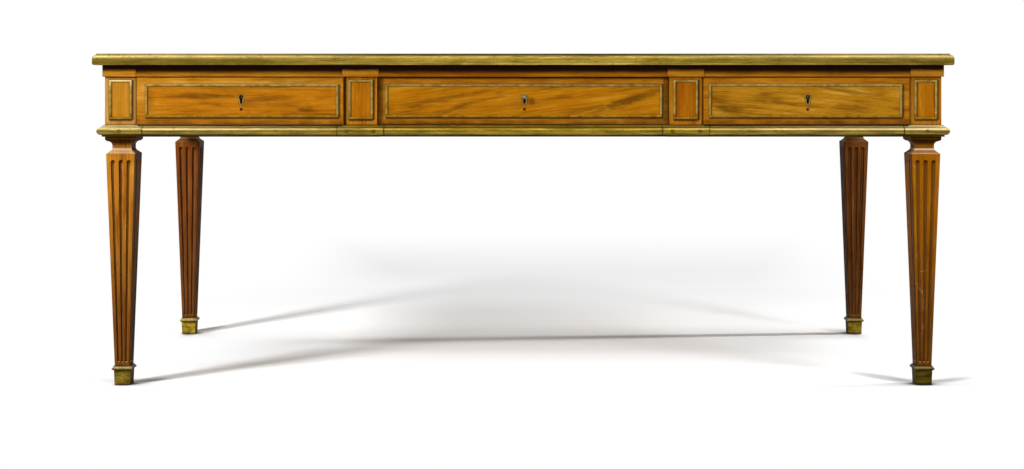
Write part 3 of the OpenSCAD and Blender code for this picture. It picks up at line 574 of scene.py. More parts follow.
def post_shade(x0, y0, wide, edges=0):
    """Painted shadows along the brass frames of a post, and a painted shadow along its left edge.
    """

    def shade(x, y, z):
        u = post_plane(x, y, x0, y0)
        dirt = frame_shadow_and_dirt(u, z, *post_frame(wide))
        if edges:
            left = stretched(u, 0.0045 - wide / 2, 0.0065 - wide / 2, edges, 0)
            dirt = highest(dirt, left)
        return dirt

    return shade


def band_shade(dark, clean):
    """Painted shadow under the top's overhang: full above the height dark, gone at the height
    clean.
    """

    def shade(x, y, z):
        at = point(x, y, z)
        wavy = noise(at, (14, 14, 60), 3, 0.6)
        height = times_plus(minus(wavy, 0.5), 0.006, z)
        return stretched(height, clean, dark, 0, 0.985)

    return shade


def past_mitre(x, y):
    """How far a point of the top is beyond the mitres, on the side of the short ends."""
    across = minus(absolute(x), MITRE)
    return minus(across, absolute(y))


def top_ends(x, y, z):
    """The mitred ends of the top, whose grain runs across."""
    return calc("GREATER_THAN", past_mitre(x, y), 0)


def mitre_dirt(x, y, z):
    """Dirt in the four mitres of the top."""
    gap = absolute(past_mitre(x, y))
    return stretched(gap, 0.0004, 0.0014, 0.75, 0)


def scratch(x, z, start, end, width, wobble):
    """1 on a thin scratch between two points of a front, else 0."""
    length = math.dist(start, end)
    along = ((end[0] - start[0]) / length, (end[1] - start[1]) / length)
    u = minus(x, start[0])
    v = minus(z, start[1])
    run, off = turned(u, v, *along)
    off = absolute(plus(off, wobble))
    ends = calc("COMPARE", run, length / 2, length / 2)
    return times(ends, stretched(off, width, width * 0.3))


# Painted shade and painted highlights on the neck of a leg, by height
NECK_SHADE = (
    (0.5358, 0), (0.5366, 0.5), (0.5376, 0), (0.5495, 0), (0.5502, 0.45), (0.5516, 0.1),
    (0.5555, 0.22), (0.56, 0.52), (0.563, 0.86), (0.569, 0.93), (0.5712, 0.92), (0.5722, 0.5),
    (0.5734, 0.7), (0.5748, 0.97), (0.577, 0.98), (0.58, 0),
)
NECK_HIGHLIGHTS = {
    "golden": (
        (0.536, 0), (0.5384, 0.45), (0.5396, 0.62), (0.541, 0.42), (0.544, 0.45),
        (0.5458, 0.85), (0.549, 0.9), (0.55, 0.1), (0.553, 0)),
    "brown": (
        (0.536, 0), (0.5376, 0.6), (0.5388, 0.15), (0.543, 0.1), (0.5444, 0.05),
        (0.5454, 1), (0.5484, 1), (0.5494, 0), (0.553, 0)),
}
# The side of a flute that catches the light, painted with a highlight and left without the
# flute's painted shade; the feet of flutes get a painted highlight up to this height
LIT_SIDE = (-0.75, -0.66, 0)
FLUTE_FOOT = 0.064
# Heights between which a leg becomes darker
LEG_DARKENS = (0.46, 0.12)


def facing(tree, direction, low, high, strength=1):
    """strength where the surface faces a direction, by the cosine of the angle between
    them: nothing under low, all above high."""
    normal = add(tree, "NewGeometry").outputs["Normal"]
    cosine = vector_calc("DOT_PRODUCT", normal, direction)["Value"]
    return stretched(cosine, low, high, 0, strength)


def inner_side(tree, x0, strength):
    """strength of painted shade on the side of a leg at x0 that faces the other leg of its pair,
    else 0.
    """
    return facing(tree, (1 if x0 < 0 else -1, 0, 0), 0.35, 0.9, strength)


def leg_wood(
        node, seed, upper_tones, lower_tones, panel_tones, border_tones, inner, neck, worn,
        scratches):
    """The wood of a leg: panelled at its post, darker towards the floor, with painted shade on the
    side that faces the other leg of its pair, by inner, and painted highlights on its neck, by
    worn."""
    x0, y0, _ = middle_of(node)
    made, tree, surface = material(node)
    at, x, y, z = place(tree)
    vector = moved(aligned(x, y, z, "Z"), (seed, 0, seed * 0.6))
    upper = grain(vector, upper_tones, 0.25, 0.25)
    lower = grain(vector, lower_tones, 0.25, 0.3)
    border = grain(vector, border_tones, 0.2)
    panel = grain(moved(vector, (3, 1, 2)), panel_tones, 0.3, 0.1)
    down = stretched(z, *LEG_DARKENS)
    colour = mixed(down, upper["Color"], lower["Color"])
    below = calc("LESS_THAN", z, MOULDING_LOW + 0.01)
    colour = mixed(below, border["Color"], colour)
    colour = mixed(post_mask(x0, y0, POST_W)(x, y, z), colour, panel["Color"])
    colour = mixed(times(ramp(z, NECK_HIGHLIGHTS[neck]), worn), colour, NECK_HIGHLIGHT_COLOUR)
    on_shaft = calc("LESS_THAN", z, SHAFT_TOP)
    # Painted highlight on the lit side of the flutes and at their feet, where their painted shade
    # is left out
    lit = facing(tree, LIT_SIDE, 0.68, 0.86, 0.9)
    lit = times(lit, stretched(z, FLUTE_TOP - 0.002, FLUTE_TOP - 0.012))
    foot = facing(tree, UPWARD, 0.25, 0.6)
    foot = times(foot, calc("LESS_THAN", z, FLUTE_FOOT))
    colour = mixed(times(lit, 0.1), colour, PALE_WEAR_AND_HIGHLIGHT)
    # Pale marks: chips, the painted highlight at the feet of the flutes, and scratches
    chips = noise(at, (170, 170, 110), 2, 0.5)
    marks = [times(stretched(chips, 0.735, 0.775), 0.6), times(foot, 0.75)]
    before = calc("LESS_THAN", y, y0 - 0.01)
    if scratches:
        sway = noise(at, 120, 3, 0.6)
        wobble = times(minus(sway, 0.5), 0.01)
        for start, end, width in scratches:
            line = scratch(x, z, start, end, width, wobble)
            marks.append(times(line, before, 0.6))
    colour = mixed(highest(*marks), colour, PALE_WEAR_AND_HIGHLIGHT)
    # Painted shade along the edge of the front next to the inner side
    half = times_plus(z, SHAFT_TAPER, SHAFT_HALF - SHAFT_LOW * SHAFT_TAPER)
    inward = times(minus(x, x0), 1 if x0 < 0 else -1)
    shaded_arris = stretched(minus(half, inward), 0.0012, 0.004, 0.8, 0)
    shaded_arris = times(shaded_arris, before, on_shaft)
    # Painted shade: shadows of the panel frames, shade on the neck by height, along the inner edge
    # and on the inner side
    dirt = highest(
        post_shade(x0, y0, POST_W)(x, y, z), ramp(z, NECK_SHADE), shaded_arris,
        times(inner_side(tree, x0, inner), below))
    polished(
        tree, surface, colour, upper["Height"], upper["Streak"], 0.52, dirt, FLUTES, 0.03, 0.1,
        highest(lit, foot))
    return made


# Brass

# Its three tones, tarnish, specks and the painted shade on the side of a shoe away from the
# light; what painted shade does to the colour
BRASS_TONES = ((0.14, 0.09, 0.006), (0.345, 0.232, 0.024), (0.52, 0.375, 0.07))
TARNISH = (0.022, 0.012, 0.003)
SPECKS = (0.05, 0.028, 0.005)
SHOE_SIDE_SHADE = (0.04, 0.027, 0.008)
SHADED = (0.5, 0.5, 0.8)
# How far from the middle of the desk its painted light in the middle lasts and ends
MIDDLE_TO_END = (0.2, 0.86)


def brass(
        name, along, seed=0, tarnish=0.5, roughness=0.36, rubbed=(), darkened=(), tone=1,
        joints=None, highlight_colour=(0.86, 0.67, 0.26), length=1, inner=None, middle=None, tilt=0):
    """Old lacquered brass: blotches, fine lines of this length along one axis, brown in its
    hollows. rubbed and the table after it give, by height, its painted highlights, partly
    rubbed brass, and where it is darker, painted shade on the mouldings; joints is a function
    from (x, y, z) to the dirt in joints and around screws; inner is the x of a leg whose inner
    side gets painted shade; tilt is how the painted highlight lines slope. middle is for
    half-way along the desk, where painted light makes it brighter: the gain of the colour, how
    much of the painted highlights is left, and the height above which it is in painted shade."""
    made, tree, surface = material(name)
    x, y, z = place(tree)[1:]
    vector = moved(aligned(x, y, z, along), (seed, seed * 0.4, seed * 0.8))
    vector = scaled(vector, (1 / length, 1, 1))
    blotch = noise(vector, (11, 70), 5, 0.66, 0.4)
    lines = noise(vector, (7, 420), 3, 0.65)
    flecks = noise(vector, (110, 210), 2, 0.5)
    value = times_plus(lines, 0.42, times(blotch, 0.58))
    worn = stretched(value, 0.4, 0.6)
    dull, plain, bright = ([tone * part for part in colour] for colour in BRASS_TONES)
    colour = mixed(worn, dull, plain)
    colour = mixed(stretched(value, 0.56, 0.72, 0, 0.8), colour, bright)
    metal = ends = 1
    # Half-way along the desk: painted light, brighter below the height under and painted shade
    # above it, with fewer painted highlights
    if middle:
        gain, left_over, under = middle
        spread = stretched(absolute(x), *MIDDLE_TO_END)
        above = stretched(z, under - 0.004, under)
        central = mixed(above, scaled(colour, gain), scaled(colour, SHADED))
        colour = mixed(spread, central, colour)
        ends = blended(spread, left_over, 1)
    # Painted highlights by height, partly rubbed brass
    if rubbed:
        clean = ramp(times_plus(x, tilt, z), rubbed)
        clean = times(clean, stretched(value, 0.3, 0.56, 0.55, 1))
        clean = times(clean, ends)
        colour = mixed(clean, colour, highlight_colour)
        metal = times_plus(clean, -0.6, 1)
    # Darker bands by height, painted shade on the mouldings
    if darkened:
        dirt = times(ramp(z, darkened), stretched(value, 0.35, 0.6, 1, 0.75))
        colour = mixed(dirt, colour, TARNISH)
    specks = times(stretched(flecks, 0.6, 0.72), tarnish)
    colour = mixed(specks, colour, SPECKS)
    dirty = crevice(tree, 0.006, 0.3, 0.8, 0.9)
    if joints:
        dirty = highest(dirty, joints(x, y, z))
    colour = mixed(dirty, colour, TARNISH)
    gloss = 0.2
    # Painted shade on the inner side of a shoe: duller, less metal and less gloss
    if inner is not None:
        shut = inner_side(tree, inner, 0.96)
        colour = mixed(shut, colour, SHOE_SIDE_SHADE)
        metal = times(metal, minus(1, shut))
        gloss = times_plus(shut, -0.2, 0.2)
    rough = stretched(value, 0.3, 0.7, roughness + 0.12, roughness - 0.08)
    height = times_plus(flecks, 0.4, lines)
    finish(surface, colour, rough, (0.25, 0.0005, height), metal, gloss)
    return made


# Brass strips: their tones, paler on the left post, browner low down, and their dirt
STRIP_TONES = ((0.22, 0.138, 0.02), (0.46, 0.318, 0.08))
STRIP_PALE = (0.8, 0.62, 0.3)
STRIP_LOW = (0.72, 0.62, 0.3)
STRIP_DIRT = (0.06, 0.032, 0.005)
LEFT_POST_X, LEFT_POST_Z, LOW_Z = (-0.88, -0.9), (0.69, 0.7), (0.631, 0.6275)


def strip_metal(name):
    """Brass strip rubbed by polishing: pale, dull and even, with a little dirt."""
    made, tree, surface = material(name)
    at, x, _, z = place(tree)
    cloudy = noise(at, 60, 4, 0.6)
    fine = noise(at, 700, 2, 0.5)
    value = times_plus(fine, 0.35, times(cloudy, 0.65))
    colour = mixed(stretched(value, 0.34, 0.66), *STRIP_TONES)
    left_post = stretched(x, *LEFT_POST_X, 0, 0.6)
    left_post = times(left_post, stretched(z, *LEFT_POST_Z))
    colour = mixed(left_post, colour, STRIP_PALE)
    low_strip = stretched(z, *LOW_Z)
    colour = mixed(low_strip, colour, scaled(colour, STRIP_LOW))
    dirty = crevice(tree, 0.003, 0.25, 0.75, 0.85)
    colour = mixed(dirty, colour, STRIP_DIRT)
    rough = stretched(value, 0.3, 0.7, 0.55, 0.42)
    finish(surface, colour, rough, (0.15, 0.0003, fine), 0.85, 0.3)
    return made


# Painted shade deep in a keyhole
KEYHOLE_BLACK = (0.004, 0.003, 0.002)


def lock_metal(name, depth, tone):
    """Metal in a keyhole: its pin shows a worn end, and all that lies deeper is painted black as
    shade.
    """
    made, tree, surface = material(name)
    at, _, y, _ = place(tree)
    value = noise(at, 420, 3, 0.6)
    dull = tuple(0.35 * share for share in tone)
    colour = mixed(stretched(value, 0.35, 0.65), dull, tone)
    deep = stretched(y, depth, depth + 0.0015)
    shut = calc("LESS_THAN", y, depth + 0.03)
    colour = mixed(times(deep, shut), colour, KEYHOLE_BLACK)
    finish(surface, colour, stretched(value, 0.3, 0.7, 0.45, 0.28), metal=0.9)
    return made


LEATHER_TONES = ((0.075, 0.024, 0.011), (0.115, 0.042, 0.019))
LEATHER_WORN = (0.2, 0.085, 0.038)
GILT = (0.62, 0.43, 0.13)
# Gilt border of the leather: how far in its two lines and its beads lie, and their sizes
GILT_LINES = ((0.018, 0.0018), (0.03, 0.0009))
BEADS_IN, BEAD_STEP, BEAD_R = 0.024, 0.003, 0.00212132


def leather(name, low, high):
    """Brown writing leather with two gilt lines and a row of gilt beads around its edge."""
    made, tree, surface = material(name)
    at, x, y, _ = place(tree)
    tone = noise(at, 9, 5, 0.65)
    inputs = {"Vector": at, "Scale": 900}
    cells = linked("TexVoronoi", inputs, feature="DISTANCE_TO_EDGE").outputs[0]
    creases = noise(at, 260, 3, 0.6)
    colour = mixed(stretched(tone, 0.3, 0.7), *LEATHER_TONES)
    worn = stretched(noise(at, (3, 4.5, 1), 4, 0.6), 0.46, 0.64)
    centre = near(times(x, 0.5), y, (0, -0.16), 0.08, 0.34, 1)
    worn = times(highest(worn, times(centre, 0.7)), 0.4)
    colour = mixed(worn, colour, LEATHER_WORN)
    gold = [
        calc("COMPARE", rim(x, y, low, high, inset), 0, half)
        for inset, half in GILT_LINES]
    beads = [calc("PINGPONG", value, BEAD_STEP) for value in (x, y)]
    beads = plus(*(times(bead, bead) for bead in beads))
    row = calc("COMPARE", rim(x, y, low, high, BEADS_IN), 0, BEAD_STEP)
    gold.append(times(calc("LESS_THAN", beads, BEAD_R ** 2), row))
    rubbed = stretched(noise(at, 90, 4, 0.7), 0.38, 0.5)
    gold = times(highest(*gold), rubbed)
    colour = mixed(gold, colour, GILT)
    height = times_plus(stretched(cells, 0, 0.06), 0.6, creases)
    rough = blended(gold, 0.52, 0.34)
    finish(surface, colour, rough, (0.3, 0.0004, height), times(gold, 0.8), 0.3)
    return made


def rim(u, v, low, high, inset):
    """How far a point is inside (above 0) or outside the rectangle inset from low..high."""
    gaps = []
    for value, a, b in zip((u, v), low, high):
        off = absolute(minus(value, (a + b) / 2))
        gaps.append(minus((b - a) / 2 - inset, off))
    return calc("MINIMUM", *gaps)


STEEL_TONES = ((0.16, 0.14, 0.12), (0.42, 0.41, 0.39))


def steel(name):
    made, tree, surface = material(name)
    value = noise(place(tree)[0], 140, 4, 0.6)
    colour = mixed(stretched(value, 0.4, 0.65), *STEEL_TONES)
    finish(surface, colour, stretched(value, 0.3, 0.7, 0.5, 0.3), metal=1)
    return made


# Studio

WHITE = (1, 1, 1)


def new_object(name, data):
    """Adds an object to the scene."""
    made = bpy.data.objects.new(name, data)
    bpy.context.scene.collection.objects.link(made)
    return made


def seen_rays(tree):
    """1 for the rays that show the background: straight, mirrored and through glass."""
    ray = add(tree, "LightPath").outputs
    mirrored = highest(ray["Is Glossy Ray"], ray["Is Transmission Ray"])
    return highest(ray["Is Camera Ray"], mirrored)


def make_world(fill, room):
    """A white room that is dimmer, room, on the side of the camera in mirrored light."""
    world = bpy.data.worlds.new("studio")
    world.use_nodes = True
    tree = world.node_tree
    tree.nodes.clear()
    way = linked("SeparateXYZ", {0: add(tree, "TexCoord").outputs["Generated"]}).outputs
    dim = stretched(way[1], -0.15, -0.7, 1, room)
    dim = highest(dim, stretched(way[2], 0.35, 0.8, 0, 1))
    straight = add(tree, "LightPath").outputs["Is Camera Ray"]
    shown = highest(dim, straight)
    strength = blended(seen_rays(tree), fill, shown)
    back = linked("Background", {"Color": WHITE, "Strength": strength})
    put(add(tree, "OutputWorld").inputs["Surface"], back.outputs[0])
    bpy.context.scene.world = world


# How much the floor's brightness is raised, by how far it lies to the back
FLOOR_GAIN = (
    (-0.4, 1.05), (-0.32, 1.12), (-0.22, 1.36), (-0.06, 1.3), (0.1, 1.12), (0.36, 1.42),
    (0.55, 1.8), (0.76, 1.8), (0.87, 1.74), (0.985, 1.51), (1.106, 1.38), (1.233, 1.31),
    (1.366, 1.29), (1.506, 1.33), (1.8, 1.2), (2, 1.12))
# The shaded part of the floor, under the desk and far behind it: its middle, half its width
# and the width of its soft rim
SHADED_MIDDLE, SHADED_HALF, SHADED_RIM = (0.06, 0.2), (0.98, 0.28), (0.5, 0.85)
# The floor's colour in the light that it sends to the desk, and how many sides it has
FLOOR_GREY = (0.45, 0.45, 0.45)
FLOOR_SIDES = 64
# How far the feet darken the floor
FOOT_REACH = 0.16
# Feet and the directions in which their shadows run over the floor
LEFT_SHADOWS = (((-FOOT_X, -FOOT_Y), (0.699, 0.715)), ((-FOOT_X, FOOT_Y), (0.549, 0.836)))
RIGHT_SHADOWS = (((FOOT_X, -FOOT_Y), (-0.665, 0.747)), ((FOOT_X, FOOT_Y), (-0.995, -0.101)))
# Soft shadows beside the feet: place, half length and width, lean, strength
SMUDGES = (
    (0.868, -0.318, 0.115, 0.036, 128, 0.38), (0.89, -0.34, 0.06, 0.02, 135, 0.5),
    (0.992, -0.352, 0.085, 0.025, 33, 0.42), (-0.882, -0.35, 0.06, 0.022, 40, 0.64),
    (-0.898, 0.465, 0.08, 0.024, 60, 0.55), (0.875, 0.388, 0.07, 0.014, 6, 0.4),
)


def off_shadows(x, y, lines):
    """1 away from the shadows of some feet, 0 on them."""
    found = []
    for foot, way in lines:
        u, v = minus(x, foot[0]), minus(y, foot[1])
        run, off = turned(u, v, *way)
        on_line = stretched(absolute(off), 0.045, 0.13, 1, 0)
        found.append(times(on_line, stretched(run, -0.04, 0.01)))
    return minus(1, highest(*found))


def foot_contact(tree, x, y):
    """Darkness of the floor close to the feet, on the sides away from the light."""
    dark = stretched(open_air(tree, FOOT_REACH, 16), 0.45, 0.98, 0.88, 0)
    behind = stretched(y, -0.43, -0.408)
    left = stretched(x, -0.96, -0.93)
    right = highest(stretched(x, 0.955, 0.93), calc("LESS_THAN", y, 0))
    for share in (behind, left, right):
        dark = times(dark, share)
    smudges = [oval(x, y, smudge) for smudge in SMUDGES]
    return minus(1, highest(dark, *smudges))


def make_floor(radius, lift):
    """A white floor that keeps the shadows around the desk and is plain white far off."""
    made, tree, surface = material("floor")
    x, y = place(tree)[1:3]
    back = stretched(y, 0.2, 1.8)
    middle = blended(back, *SHADED_MIDDLE)
    half = blended(back, *SHADED_HALF)
    front = stretched(y, 0.15, -0.2, 0, 0.12)
    aside = minus(absolute(minus(x, middle)), half)
    aside = minus(aside, front)
    soft = blended(back, *SHADED_RIM)
    near_desk = stretched(y, 1.3, 0.7)
    left, right = (
        times(stretched(x, *ends), off_shadows(x, y, lines))
        for ends, lines in (((-0.48, -0.86), LEFT_SHADOWS), ((0.62, 0.88), RIGHT_SHADOWS)))
    plain = highest(
        minus(1, stretched(calc("DIVIDE", aside, soft), 1, 0)),
        times(highest(left, right), near_desk),
        stretched(y, 0.5, 3.6), stretched(y, -0.395, -0.44))
    contact = foot_contact(tree, x, y)
    raised = times(stretched(y, 0.3, 1, *lift), contact)
    gain = ramp(y, [(at_y, value / 2) for at_y, value in FLOOR_GAIN])
    gain = times(gain, 2, contact)
    diffuse = add(tree, "BsdfDiffuse", {"Color": FLOOR_GREY}).outputs[0]
    white = point(gain, gain, gain)
    caught = linked("BsdfDiffuse", {"Color": white}).outputs[0]
    glow = linked("Emission", {"Color": WHITE, "Strength": raised}).outputs[0]
    both = linked("AddShader", {0: caught, 1: glow}).outputs[0]
    flat = linked("Emission", {"Color": WHITE, "Strength": contact}).outputs[0]
    shown = linked("MixShader", {0: plain, 1: both, 2: flat}).outputs[0]
    look = linked("MixShader", {0: seen_rays(tree), 1: diffuse, 2: shown})
    put(surface, look.outputs[0])
    mesh = bpy.data.meshes.new("floor")
    turns = [math.tau * number / FLOOR_SIDES for number in range(FLOOR_SIDES)]
    ring = [(radius * math.cos(turn), radius * math.sin(turn), 0) for turn in turns]
    mesh.from_pydata(ring, [], [range(FLOOR_SIDES)])
    mesh.materials.append(made)
    new_object("floor", mesh)


# Lamps: name, place, aim, size and power in watts
LAMPS = (
    ("key", (-2.5, -2, 2.05), (0, 0, 0.45), (0.45, 0.6), 75),
    ("right", (2.9, -2.6, 2.2), (0, 0, 0.5), (0.8, 0.8), 42),
    ("front", (0.1, -4.6, 2.6), (0, 0, 0.4), (2.4, 0.8), 18),
    ("over", (0, -1.6, 3.5), (0, 0, 0), (4, 1), 46),
    ("side", (7.4, 1.05, 2.9), (0, 0.2, 0.2), (0.42, 0.42), 370),
)


def make_lamp(name, at, aim, size, power):
    data = bpy.data.lights.new(name, "AREA")
    data.shape = "RECTANGLE"
    data.size, data.size_y = size
    data.energy = power
    lamp = new_object(name, data)
    lamp.location = at
    lamp.rotation_mode = "QUATERNION"
    lamp.rotation_quaternion = (Vector(aim) - Vector(at)).to_track_quat("-Z", "Y")


def make_camera():
    data = bpy.data.cameras.new("camera")
    data.sensor_width = SENSOR_MM
    data.lens = FOCAL_PX * SENSOR_MM / IMAGE_W
    data.shift_x = (IMAGE_W / 2 - SIGHT_PX[0]) / IMAGE_W
    data.shift_y = (SIGHT_PX[1] - IMAGE_H / 2) / IMAGE_W
    camera = new_object("camera", data)
    camera.location = CAMERA_AT
    camera.rotation_euler = (math.pi / 2, 0, 0)
    bpy.context.scene.camera = camera


make_camera()
make_world(fill=0.12, room=0.2)
make_floor(radius=14, lift=(0.02, 0.09))
for lamp in LAMPS:
    make_lamp(*lamp)


# The desk

# Widths of rounded edges; what counts as one corner, as flat and as sharp
EDGE, OAK_EDGE = 0.0008, 0.001
WELD, FLAT, SHARP = 2e-6, math.radians(0.3), math.radians(40)


def softened(node, width, made):
    """A copy of a node with its edges rounded by width, which stands for the node."""
    name = node + "_finish"
    source = NODES[node]
    shape = bmesh.new()
    shape.from_mesh(source.data)
    bmesh.ops.remove_doubles(shape, verts=shape.verts, dist=WELD)
    bmesh.ops.dissolve_limit(shape, angle_limit=FLAT, verts=shape.verts, edges=shape.edges)
    mesh = bpy.data.meshes.new(name)
    shape.to_mesh(mesh)
    shape.free()
    mesh.polygons.foreach_set("use_smooth", [True] * len(mesh.polygons))
    mesh.set_sharp_from_angle(angle=SHARP)
    mesh.materials.append(made)
    piece = new_object(name, mesh)
    bevel = piece.modifiers.new("edges", "BEVEL")
    bevel.width = width
    bevel.segments = 2
    bevel.limit_method = "ANGLE"
    bevel.angle_limit = SHARP
    bevel.harden_normals = True
    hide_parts(node)
    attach(piece, BODY_OF[node])


def paint(made, *nodes):
    """Gives CAD nodes that stay a material."""
    for node in nodes:
        for slot in NODES[node].material_slots:
            slot.material = made


DRAWERS = ("left", "centre", "right")


def in_drawers(part):
    """The nodes of one kind in the three drawers."""
    return [f"drawer_{hand}_{part}" for hand in DRAWERS]


# Scratches on the front right leg as start, end and half width
LEG_SCRATCHES = (
    ((0.9085, 0.239), (0.9292, 0.209), 0.0011),
    ((0.9177, 0.2644), (0.9338, 0.2667), 0.0009),
    ((0.9265, 0.206), (0.9275, 0.172), 0.0012),
    ((0.9262, 0.14), (0.927, 0.116), 0.001),
    ((0.9, 0.512), (0.904, 0.503), 0.001),
    ((0.909, 0.305), (0.913, 0.29), 0.0008),
)

# Brown spots in the panels of the drawers, and a painted shadow of the centre lock's pin:
# place, half length and width, lean, strength
CLOUDS = {
    "left": (
        (-0.745, 0.671, 0.085, 0.0085, 0, 0.75), (-0.585, 0.664, 0.06, 0.007, 4, 0.45),
        (-0.498, 0.637, 0.026, 0.0075, -6, 0.75), (-0.862, 0.659, 0.012, 0.03, 0, 0.4),
    ),
    "centre": (
        (-0.19, 0.6635, 0.095, 0.006, 10, 0.5), (-0.152, 0.644, 0.05, 0.005, 20, 0.55),
        (0.237, 0.657, 0.095, 0.011, 18, 0.8), (0.15, 0.64, 0.06, 0.006, 12, 0.55),
        # The first of these two is the painted shadow of the lock's pin
        (0.0195, 0.6575, 0.009, 0.011, 0, 0.85), (-0.255, 0.647, 0.04, 0.005, 6, 0.35),
    ),
    "right": (
        (0.474, 0.641, 0.036, 0.012, -4, 0.7), (0.76, 0.642, 0.052, 0.0095, -6, 0.62),
        (0.56, 0.6745, 0.018, 0.0045, 0, 0.5), (0.811, 0.674, 0.034, 0.006, 8, 0.45),
    ),
}
# Fronts of the drawers: figure and its lean; reach of the painted shade below their top
# edge and strength of the painted shade in the gaps around their edges; strength of the
# darkening at their left and right ends, a painted shadow of the inner post on the left
FRONTS = {
    "left": (0.34, 0, (0.0016, 0.8), (0, 0)),
    "centre": (0.28, 7, (0.0048, 0.97), (0.72, 0.62)),
    "right": (0.4, -5, (0.003, 0.97), (0, 0)),
}

# Brightness of the brass of each shoe
SHOES = {"front_left": 0.8, "front_right": 0.32, "back_left": 1.7, "back_right": 1}

# Looks of the legs: tones above, below, in the panels and around them, the strength of the
# painted shade on their inner sides, which painted highlights their necks get and how strong,
# and their scratches
LEGS = {
    "leg_front_left": (
        GOLDEN_LEG, GOLDEN_LEG_LOW, LEFT_POST_TONES, LEFT_BORDER_TONES, 0.94, "golden", 0.55, ()),
    "leg_front_right": (
        BROWN_LEG, BROWN_LEG_LOW, POST_TONES, BORDER_TONES, 0.55, "brown", 0.9, LEG_SCRATCHES),
    "leg_back_left": (RED_LEG, RED_LEG_LOW, POST_TONES, BORDER_TONES, 0.75, "brown", 0.25, ()),
    "leg_back_right": (DARK_LEG, DARK_LEG_LOW, POST_TONES, BORDER_TONES, 0.88, "brown", 0.25, ()),
}
for number, (node, looks) in enumerate(LEGS.items()):
    paint(leg_wood(node, 3.1 * number + 3.1, *looks), node)

# An inner post's middle is put this far back for its material, so that only its front counts
FAR_BACK = 9
for number, hand in enumerate(("left", "right")):
    node = "stile_front_" + hand
    low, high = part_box(node)
    middle, wide = (low.x + high.x) / 2, high.x - low.x
    tones = POST_TONES if hand == "left" else RIGHT_STILE_TONES
    panel = (post_mask(middle, FAR_BACK, wide), tones, "Z", 0.35, 0, 0.15, (), None)
    shade = post_shade(middle, FAR_BACK, wide, 0.9 if hand == "left" else 0)
    softened(node, EDGE, wood(
        node, "Z", BORDER_TONES, 0.2, 1.7 + number, panel=panel, shade=shade))

for number, (hand, (figure, lean, edges, ends)) in enumerate(FRONTS.items()):
    node, strip = f"drawer_{hand}_front", f"drawer_{hand}_frame"
    hole = (middle_of(f"drawer_{hand}_escutcheon").x, HOLE_Z)
    panel = (front_mask(strip), PANEL_TONES[hand], "X", figure, lean, 0.55, CLOUDS[hand], hole)
    softened(node, EDGE, wood(
        node, "X", BORDER_TONES, 0.4, 7.3 * number + 2, panel=panel, paler=hand == "left",
        shade=front_shade(node, strip, edges, ends)))

# Plain wood: node, material, the grain's direction, tones, figure, seed and more of wood()
# Painted shadow under the top's overhang on the rails, aprons and caps
RAIL_BAND = band_shade(0.7305, 0.7165)
CAP_BAND = band_shade(0.734, 0.7245)
TOP_ENDS = (top_ends, TOP_TONES, "Y", 0.4, 0, 0.3, (), None)
CARCASS = (
    ("front_upper_rail", "upper_rail", "X", RAIL_TONES, 0.3, 4,
     {"shade": RAIL_BAND, "paler": True}),
    ("back_upper_rail", "back_rail", "X", RAIL_TONES, 0.3, 6, {"shade": RAIL_BAND}),
    ("rail_caps", "caps", "X", BORDER_TONES, 0.2, 9, {"shade": CAP_BAND, "paler": True}),
    ("side_apron_left", "apron_left", "Y", BORDER_TONES, 0.4, 13, {"shade": RAIL_BAND}),
    ("side_apron_right", "apron_right", "Y", BORDER_TONES, 0.4, 15, {"shade": RAIL_BAND}),
    ("back_stiles", "back_stiles", "Z", BORDER_TONES, 0.2, 17, {}),
    ("back_panels", "back_panels", "X", BORDER_TONES, 0.5, 19, {}),
    ("top_board", "top_board", "X", TOP_TONES, 0.4, 21, {"shade": mitre_dirt, "panel": TOP_ENDS}),
)
for node, name, along, tones, figure, seed, more in CARCASS:
    softened(node, EDGE, wood(name, along, tones, figure, seed, **more))
paint(wood("lower_rails", "X", RAIL_TONES, 0.3, 11), "front_lower_rail", "back_lower_rail")

oak = wood("oak", "Y", OAK_TONES, 0.3, 23, roughness=0.62, smoke=0)
paint(oak, "partition_left", "partition_right", "drawer_runners", "drawer_kickers", "drawer_stops")
oak_across = wood("oak_across", "X", OAK_TONES, 0.3, 25, roughness=0.62, smoke=0)
for hand in DRAWERS:
    softened(f"drawer_{hand}_sides", OAK_EDGE, oak)
    softened(f"drawer_{hand}_back", OAK_EDGE, oak_across)
    paint(oak_across, f"drawer_{hand}_bottom")


# Painted highlights, partly rubbed brass, and painted shade on the brass edge of the top and
# the lower moulding, by height
TOP_HIGHLIGHTS = (
    (0.742, 0), (0.7438, 0.08), (0.7456, 0), (0.75, 0.02), (0.755, 0.08), (0.758, 0.25),
    (0.76, 0.3), (0.7618, 0.34), (0.764, 0.48), (0.7656, 0.55), (0.7668, 0.3), (0.768, 0.25),
)
TOP_SHADE = ((0.7415, 0.6), (0.743, 0), (0.7664, 0), (0.767, 0.15), (0.7678, 0))
LOWER_HIGHLIGHTS = (
    (0.5838, 0), (0.5856, 0.12), (0.588, 0.02), (0.5908, 0.06), (0.5925, 0.4), (0.5945, 0.62),
    (0.5964, 0.5), (0.5985, 0.35), (0.6005, 0.45), (0.6025, 0.35),
)
LOWER_SHADE = (
    (0.5765, 0.7), (0.5806, 0.85), (0.5822, 0.45), (0.584, 0), (0.6018, 0), (0.6035, 0.9),
)
CORNER_HIGHLIGHTS = (
    (0.5838, 0), (0.5856, 0.12), (0.588, 0.02), (0.5908, 0.04), (0.5925, 0.1), (0.594, 0.45),
    (0.5955, 0.6), (0.5967, 0.55), (0.5985, 0.34), (0.6005, 0.5), (0.6035, 0.6),
)
CORNER_SHADE = LOWER_SHADE[:4]
